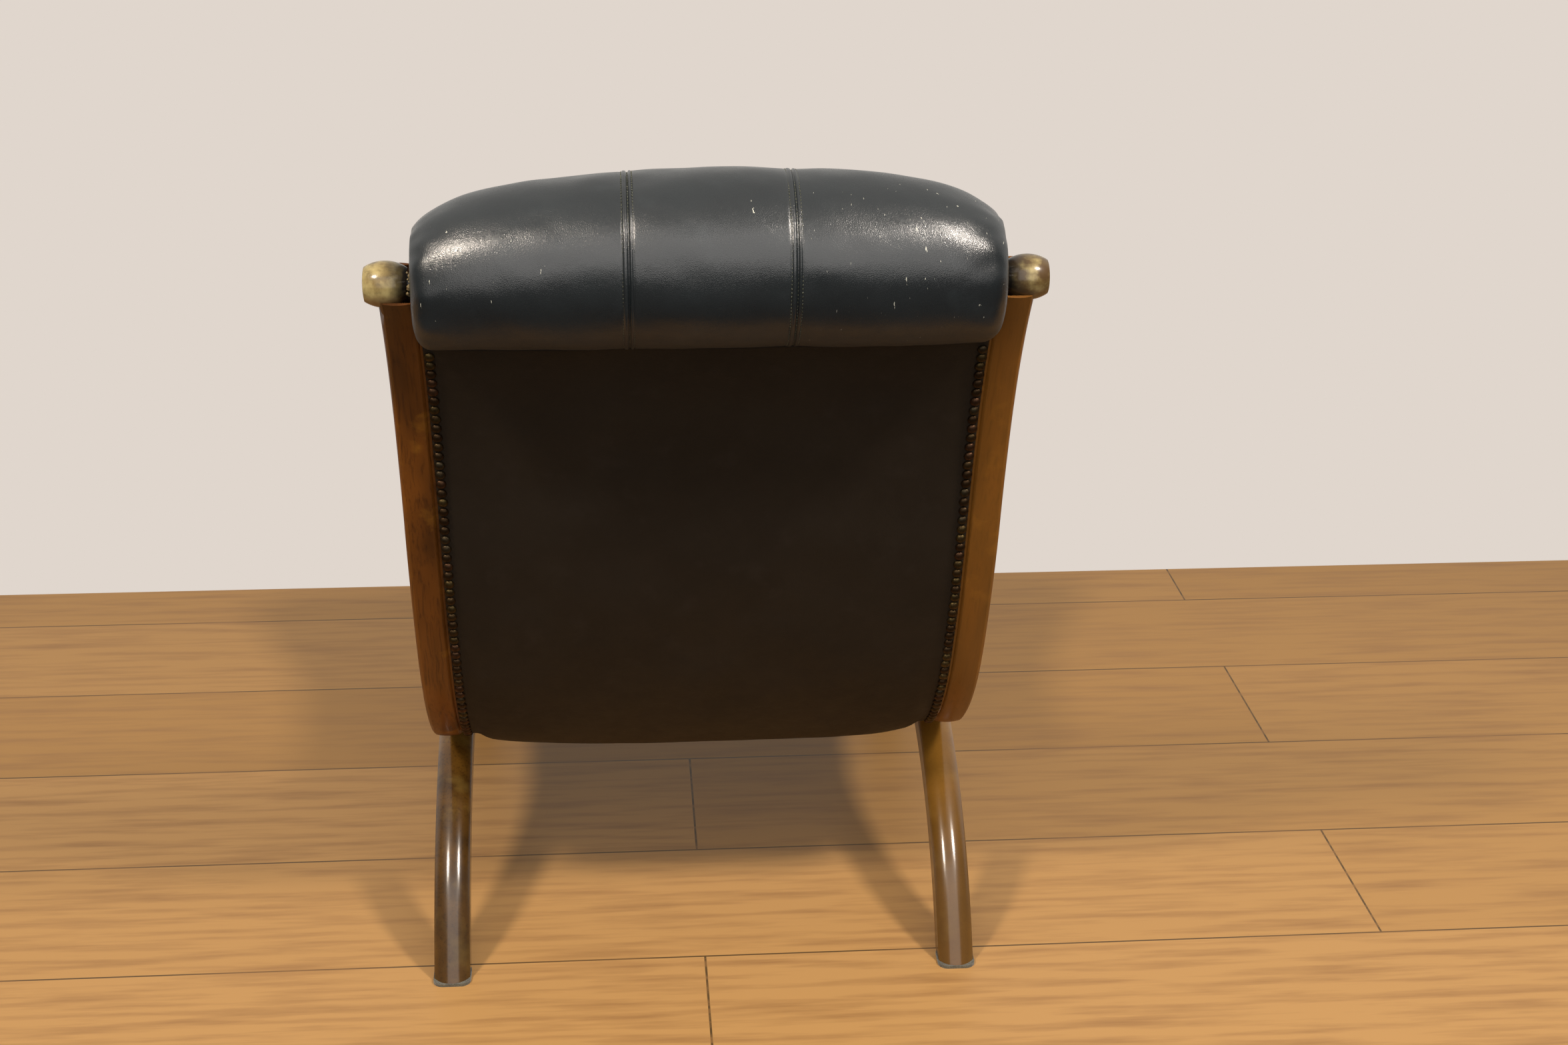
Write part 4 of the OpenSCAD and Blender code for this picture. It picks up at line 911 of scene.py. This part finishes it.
def makePanel(name, look, replaced, seed):
    shape, way = panelShape, look["way"]
    stations = int((look["to"] - look["from"]) / shape["station"])
    half = np.concatenate([np.arange(0, shape["flat"], shape["step"]), shape["nearEdge"]])
    w = np.concatenate([-half[:0:-1], half])
    v = np.clip(1 - np.abs(w) / shape["flat"], 0, 1)
    first, second = shape["crown"]
    across = (1 - (1 - v) ** first) ** second * smooth(v * shape["crownRise"])
    waveHeight, waveAt, spread = shape["nailWave"]
    rings = []
    for s in np.linspace(look["from"], look["to"], stations):
        base, heading = along(look["curve"], s, side["ledgeStep"] - side["softGap"])
        out = -inwards(heading)
        full = bell(s - look["fullAt"], look["spread"])
        belly = look["belly"] * (look["least"] + (1 - look["least"]) * full)
        height = shape["hide"] + belly * across
        height[0] = height[-1] = shape["hide"] - shape["edgeDrop"]
        outer = toChair(base + height[:, None] * out, w, way)
        lift = sum(uneven(outer, [layer], seed) * smooth(v * rise)
                   for *layer, rise in shape["soft"])
        wave = math.cos(2 * math.pi * s / nails["pitch"]) * bell(np.abs(w) - waveAt, spread)
        lift = lift + waveHeight * wave
        outer = outer + directionInChair(lift[:, None] * out, way)
        inner = toChair(np.broadcast_to(base + shape["under"] * out, (2, 2)),
                        np.array([shape["edge"], -shape["edge"]]), way)
        rings.append(np.concatenate([outer, inner]))
    # the outside leather takes the hide with painted shade and painted floor reflection in its
    # colour
    paddedPiece(name, np.array(rings), shadedDullHide, replaced)


makePanel("outsideBack", panelShape["outsideBack"], ["outside_back"], 41)
makePanel("frontApron", panelShape["frontApron"], ["front_apron"], 51)
print("outside leather ready")


# A row of domed nails along a curve, one each side of the chair. Each sits a little differently.
def nailRow(curve, depth, start, end, way, rise, seed):
    draw = np.random.default_rng(seed)
    line = deeper(curve, depth)
    found = []
    for s in np.arange(start, end + 0.01, nails["pitch"]):
        flat, heading = along(line, s)
        flat = flat + np.array([0, depth])
        up, ahead = (directionInChair(flatWay, way)
                     for flatWay in (inwards(heading) * rise, onwards(heading)))
        for sign in (-1, 1):
            width = sign * (nails["width"] + draw.uniform(*nails["astray"]))
            found.append((toChair(flat, width, way), up, ahead))
    return found


def makeNails(name, rows, replaced, seed):
    draw = np.random.default_rng(seed)
    bodies = []
    for place, up, ahead in rows:
        forward, sideways = draw.uniform(*nails["tilt"]), draw.uniform(*nails["tilt"])
        tilt = unit(up + forward * ahead + np.array([sideways, 0, 0]))
        first = unit(np.cross(tilt, [1.0, 0, 0]))
        second = np.cross(tilt, first)
        radius = nails["across"] / 2 * draw.uniform(*nails["sizes"])
        tall = nails["height"] * draw.uniform(*nails["heights"])
        bodies.append([circle(place + tilt * (tall * height), radius * reach, first, second,
                              nails["around"]) for reach, height in nails["profile"]])
    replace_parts(manyBodies(name, bodies, brass, "brass"), replaced)


# A row outside ends with its panel, and a row inside at a roll.
def outsideRow(panel, start, seed):
    look, depth = panelShape[panel], side["ledgeStep"] - nails["inFromLedge"]
    end = look["to"] - nails["fromEnd"]
    return nailRow(look["curve"], depth, start, end, look["way"], -1, seed)


def insideRow(roll, seed):
    curve, depth = roll.look["curve"], side["ledge"] + nails["inFromLedge"]
    beyond = (curveLength(curve) - roll.neckAt) * (1 + depth / curve[-1][0])
    end = curveLength(deeper(curve, depth)) - nails["across"] - beyond
    return nailRow(curve, depth, nails["pitch"] / 2, end, roll.look["way"], 1, seed)


makeNails("outsideNails", outsideRow("outsideBack", backJoint + 0.8 * heelRun, 61),
          "outside_nails", 62)
makeNails("insideNails", insideRow(topRoll, 63) + insideRow(noseRoll, 64), "inside_nails", 65)
makeNails("apronNails", outsideRow("frontApron", seatFront + nails["fromEnd"], 66),
          "apron_nails", 67)
print("nails ready")

# Woven goods under the upholstery. The straps pull straight across from rail to rail, and the
# dust cover below them sags a little between its tacks.
wovenShape = {
    "strap": {"width": 50.0, "thick": 2.2, "half": 221.0, "depth": 40.05, "sag": 0, "ripple": 0,
              "cloth": (jute, "jute")},
    "cover": {"thick": 0.7, "half": 208.4, "depth": 38.4, "sag": 4.0, "ripple": 0.5,
              "cloth": (cambric, "cambric")},
    "boardHeight": 58.0, "boardGap": 6.0, "backStraps": 4, "seatStraps": range(-3, 5),
    "seatStep": 66.0, "station": 8.0, "across": 57, "rippleLength": 38.0, "endSag": 0.35,
}


# One band of cloth from rail to rail, between two places on the whole curve. Gives its area.
def band(start, end, look, points, faces):
    shape = wovenShape
    marks = np.linspace(start, end, max(5, int((end - start) / shape["station"])))
    w = np.linspace(-look["half"], look["half"], shape["across"])
    between = np.clip(1 - (w / side["railInside"]) ** 2, 0, 1)
    length = np.clip(1 - ((marks - marks.mean()) / ((end - start) / 2)) ** 2, 0, 1)
    ripple = look["ripple"] * np.cos(w * 2 * math.pi / shape["rippleLength"])
    count, across, first = len(marks), len(w), len(points)
    for level in (0.0, look["thick"]):
        for s, middle in zip(marks, length):
            base, rise = wholeCurve(s, look["depth"] + level)
            drop = look["sag"] * (shape["endSag"] + (1 - shape["endSag"]) * middle)
            drop = (drop + ripple * (1 - middle)) * between
            points.extend(toChair(base - drop[:, None] * rise, w, -1).tolist())
    top = first + count * across
    for i in range(count - 1):
        for a in range(i * across, (i + 1) * across - 1):
            faces.append([first + a, first + a + 1, first + a + across + 1, first + a + across])
            faces.append([top + a, top + a + across, top + a + across + 1, top + a + 1])
    grid = np.arange(count * across).reshape(count, across)
    rim = [*grid[0], *grid[1:, -1], *grid[-1, -2::-1], *grid[-2:0:-1, 0]]
    for a, b in zip(rim, rim[1:] + rim[:1]):
        faces.append([int(i) for i in (first + a, top + a, top + b, first + b)])
    return 2 * look["half"] * (end - start) * mm * mm


def makeBands(name, bands, look, replaced):
    points, faces, area = [], [], 0.0
    for start, end in bands:
        area += band(start, end, look, points, faces)
    piece = pieceFrom(name, points, faces, *look["cloth"])
    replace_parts(piece, replaced)


def makeStraps(name, middles, replaced):
    look = wovenShape["strap"]
    half = look["width"] / 2
    makeBands(name, [(middle - half, middle + half) for middle in middles], look, replaced)


def pair(*names):
    return [name + end for name in names for end in ("_left", "_right")]


lowBoard = tuck - wovenShape["boardGap"]
highBoard = topRoll.neckAt - wovenShape["boardHeight"] / 2 - wovenShape["boardGap"]
strapGap = (highBoard - lowBoard) / (wovenShape["backStraps"] + 1)
makeStraps("backStraps", [-lowBoard - strapGap * (i + 1) for i in range(wovenShape["backStraps"])],
           "back_webbing")
makeStraps("seatStraps", [(i + 0.5) * wovenShape["seatStep"] for i in wovenShape["seatStraps"]],
           "seat_webbing")
makeBands("dustCover", [(-backJoint, seatFront)], wovenShape["cover"], "bottom_cover")
print("woven goods ready")

# Dried glue where the roll's cover is drawn in round its bar.
glueShape = {
    "count": 12, "from": -30, "to": 50, "astray": (-0.4, 0.4),  # degrees round the bar
    "reach": 15.5, "reaches": (0.93, 1.04), "in": (242.2, 245.2), "bead": (0.8, 1.7),
    "rings": 5, "around": 8, "stretch": (0.75, 1.3), "lumps": (0.85, 1.1),
}


def blob(centre, size, draw):
    rings, around = glueShape["rings"], glueShape["around"]
    stretch = draw.uniform(*glueShape["stretch"], 3)
    high = math.pi * (np.arange(rings)[:, None] + 0.5) / rings
    turn = 2 * math.pi * np.arange(around)[None, :] / around
    way = np.stack(np.broadcast_arrays(np.sin(high) * np.cos(turn), np.sin(high) * np.sin(turn),
                                       np.cos(high)), axis=-1)
    return centre + size * way * stretch * draw.uniform(*glueShape["lumps"], (rings, around, 1))


def makeGlue():
    draw = np.random.default_rng(71)
    blobs, shape = [], glueShape
    for sign in (-1, 1):
        for i in range(shape["count"]):
            part = (i + draw.uniform(*shape["astray"])) / (shape["count"] - 1)
            turn = math.radians(shape["from"] + part * (shape["to"] - shape["from"]))
            flat = topRoll.knob + shape["reach"] * draw.uniform(*shape["reaches"]) * onwards(turn)
            centre = toChair(flat, sign * draw.uniform(*shape["in"]), 1)
            blobs.append(blob(centre, draw.uniform(*shape["bead"]), draw))
    manyBodies("driedGlue", blobs, driedGlue, "jute")


makeGlue()


# The direction square to ahead and to the chair's width, on the side of out.
def squareTo(ahead, out):
    up = unit(np.cross(ahead, [1.0, 0, 0]))
    return up if up @ out >= 0 else -up


def rollPath(roll, w, start, end):
    path, centre = [], toChair(roll.centre, w, roll.look["way"])
    for a in np.linspace(start, end, 160):
        at, ahead = roll.point(np.array([a, a + 0.01]), np.array([w, w]))
        path.append((at, squareTo(ahead - at, at - centre)))
    return path


def padPath(rings, w):
    line = rings[:, np.argmin(np.abs(rings[0, :, 0] - w))]
    path, last = [], len(line) - 1
    for i, at in enumerate(line):
        ahead = line[min(i + 1, last)] - line[max(i - 1, 0)]
        path.append((at, squareTo(ahead, at - rings[i].mean(axis=0))))
    return path[4:-4]


# Stitches on the seams of both rolls and both pads: where they start and end round a roll, in
# radians from the side that faces its pad.
rollStitches = (0.3, 4.8)
stitchPaths = []
for sign in (-1, 1):
    for row in seam["rows"]:
        w = sign * seam["at"] + row
        for roll in (topRoll, noseRoll):
            start, end = (roll.neck - math.pi + turn for turn in rollStitches)
            stitchPaths.append(rollPath(roll, w, start, end))
        stitchPaths += [padPath(backRings, w), padPath(seatRings, w)]
sewRows("seamStitches", stitchPaths)
print("stitches ready")

# Finishes on the wooden frame and the hidden pieces, whose CAD solids stay.
finishes = [
    (railWood, [*pair("back_post", "seat_rail", "boss"), "stretcher"]),
    (legWood, pair("rear_leg", "front_leg")),
    (knobWood, pair("back_knob", "front_knob")),
    (bareBeech, ["crest_bar", "front_bar", "back_upper_board", "back_lower_board",
                 "seat_rear_board", "seat_front_board", "corner_blocks", "board_dowels",
                 "frame_dowels"]),
    (felt, ["foot_pads"]),
]
for material, names in finishes:
    for name in names:
        mesh = node[name].data
        mesh.materials.clear()
        mesh.materials.append(material)
print("finishes ready")

# Floor, backdrop and lamps.
room = {
    "boards": "#c0935a", "darkBoards": "#ad8147", "joint": "#57401f", "jointWidth": 0.0014,
    "boardWidth": 0.205, "boardLength": 1.9, "far": 9.0,
    "knots": "#9b7142", "grain": dict(size=14, levels=(0.45, 0.75), stretch=(0.08, 1, 1), detail=6),
    # the floor at the viewer's feet is dark, as the chair mirrors it; beyond the chair it is pale
    "shade": "#241b12", "shadeFrom": (0.36, 0.43), "pale": "#e0d6cd", "paleBeyond": -0.72,
    # the pale wall beyond the chair and the ceiling, as its glossy surfaces mirror them
    "sky": "#f4f0ea", "ambient": 0.2, "walls": 0.8, "ceiling": (0.5, 0.8), "ahead": (-0.05, -0.3),
    # place, width and height in metres, watts, colour: two ceiling lamps, and the lit wall
    # behind the viewer
    "lamps": [((1.42, 1.4, 2.5), (0.42, 0.42), 48, "#fff1e0"),
              ((-1.45, 1.3, 2.5), (0.42, 0.42), 52, "#fff4e8"),
              ((-0.1, 3.3, 2.15), (4.4, 3.3), 76, "#fdf8f4")],
    "lampAim": (0, 0, 0.45),
}


# Worn floorboards under the chair, with a pale painted floor beyond them.
def floorLook(look):
    material, tree, shader, place = startMaterial("wornFloorboards")
    boards = add(tree, "TexBrick", {
        "Vector": place, "Color1": srgb(look["boards"]), "Color2": srgb(look["darkBoards"]),
        "Mortar": srgb(look["joint"]), "Scale": 1.0, "Mortar Size": look["jointWidth"],
        "Mortar Smooth": 0.4, "Brick Width": look["boardLength"],
        "Row Height": look["boardWidth"]}, offset=0.37)
    grain = mask(tree, place, **look["grain"])
    tone = mixColour(tree, grain, boards.outputs["Color"], look["knots"])
    y = split(tree, place)["Y"]
    ray = add(tree, "LightPath", {}).outputs
    hidden = maths(tree, "SUBTRACT", 1.0, ray["Is Camera Ray"])
    shade = maths(tree, "MULTIPLY", ranged(tree, y, look["shadeFrom"]), hidden)
    feed(tree, shader, {"Base Color": mixColour(tree, shade, tone, look["shade"]),
                        "Roughness": 0.5})
    # the part beyond is shown at its own colour to the camera and in reflections, and lights
    # nothing
    seen = maths(tree, "MAXIMUM", ray["Is Camera Ray"], ray["Is Transmission Ray"])
    seen = maths(tree, "MAXIMUM", seen, ray["Is Glossy Ray"])
    beyond = maths(tree, "LESS_THAN", y, look["paleBeyond"])
    pale = add(tree, "Emission", {"Color": srgb(look["pale"]), "Strength": 1.0})
    both = add(tree, "MixShader", {0: maths(tree, "MULTIPLY", beyond, seen),
                                   1: shader.outputs[0], 2: pale.outputs[0]})
    feed(tree, tree.get_output_node("ALL"), {"Surface": both.outputs[0]})
    return material


def layFloor(look):
    mesh, far = bpy.data.meshes.new("floor"), look["far"]
    mesh.from_pydata([(-far, -far, 0), (far, -far, 0), (far, far, 0), (-far, far, 0)], [],
                     [(0, 1, 2, 3)])
    mesh.materials.append(floorLook(look))
    floor = bpy.data.objects.new("floor", mesh)
    scene.collection.objects.link(floor)


def lightRoom(look):
    scene.world = bpy.data.worlds.new("room")
    scene.world.use_nodes = True
    tree = scene.world.node_tree
    tree.nodes.clear()
    way = split(tree, add(tree, "TexCoord", {}).outputs["Generated"])
    ray = add(tree, "LightPath", {}).outputs
    walls = maths(tree, "MAXIMUM", ranged(tree, way["Z"], look["ceiling"]),
                  ranged(tree, way["Y"], look["ahead"]))
    walls = maths(tree, "MULTIPLY", walls, ray["Is Glossy Ray"])
    walls = maths(tree, "MAXIMUM", walls, ray["Is Camera Ray"])
    strength = ranged(tree, walls, (0.0, 1.0), look["ambient"], look["walls"])
    light = add(tree, "Background", {"Color": srgb(look["sky"]), "Strength": strength})
    add(tree, "OutputWorld", {"Surface": light.outputs[0]})
    for place, size, watts, colour in look["lamps"]:
        data = bpy.data.lights.new("softbox", "AREA")
        data.shape, data.energy = "RECTANGLE" if size[0] > 1 else "ELLIPSE", watts
        data.size, data.size_y = size
        data.color = srgb(colour)[:3]
        lamp = bpy.data.objects.new("softbox", data)
        lamp.location = place
        aim = Vector(look["lampAim"]) - Vector(place)
        lamp.rotation_euler = aim.to_track_quat("-Z", "Y").to_euler()
        scene.collection.objects.link(lamp)
    scene.view_settings.view_transform = "Standard"


placeCamera(view)
layFloor(room)
lightRoom(room)
print("room ready")
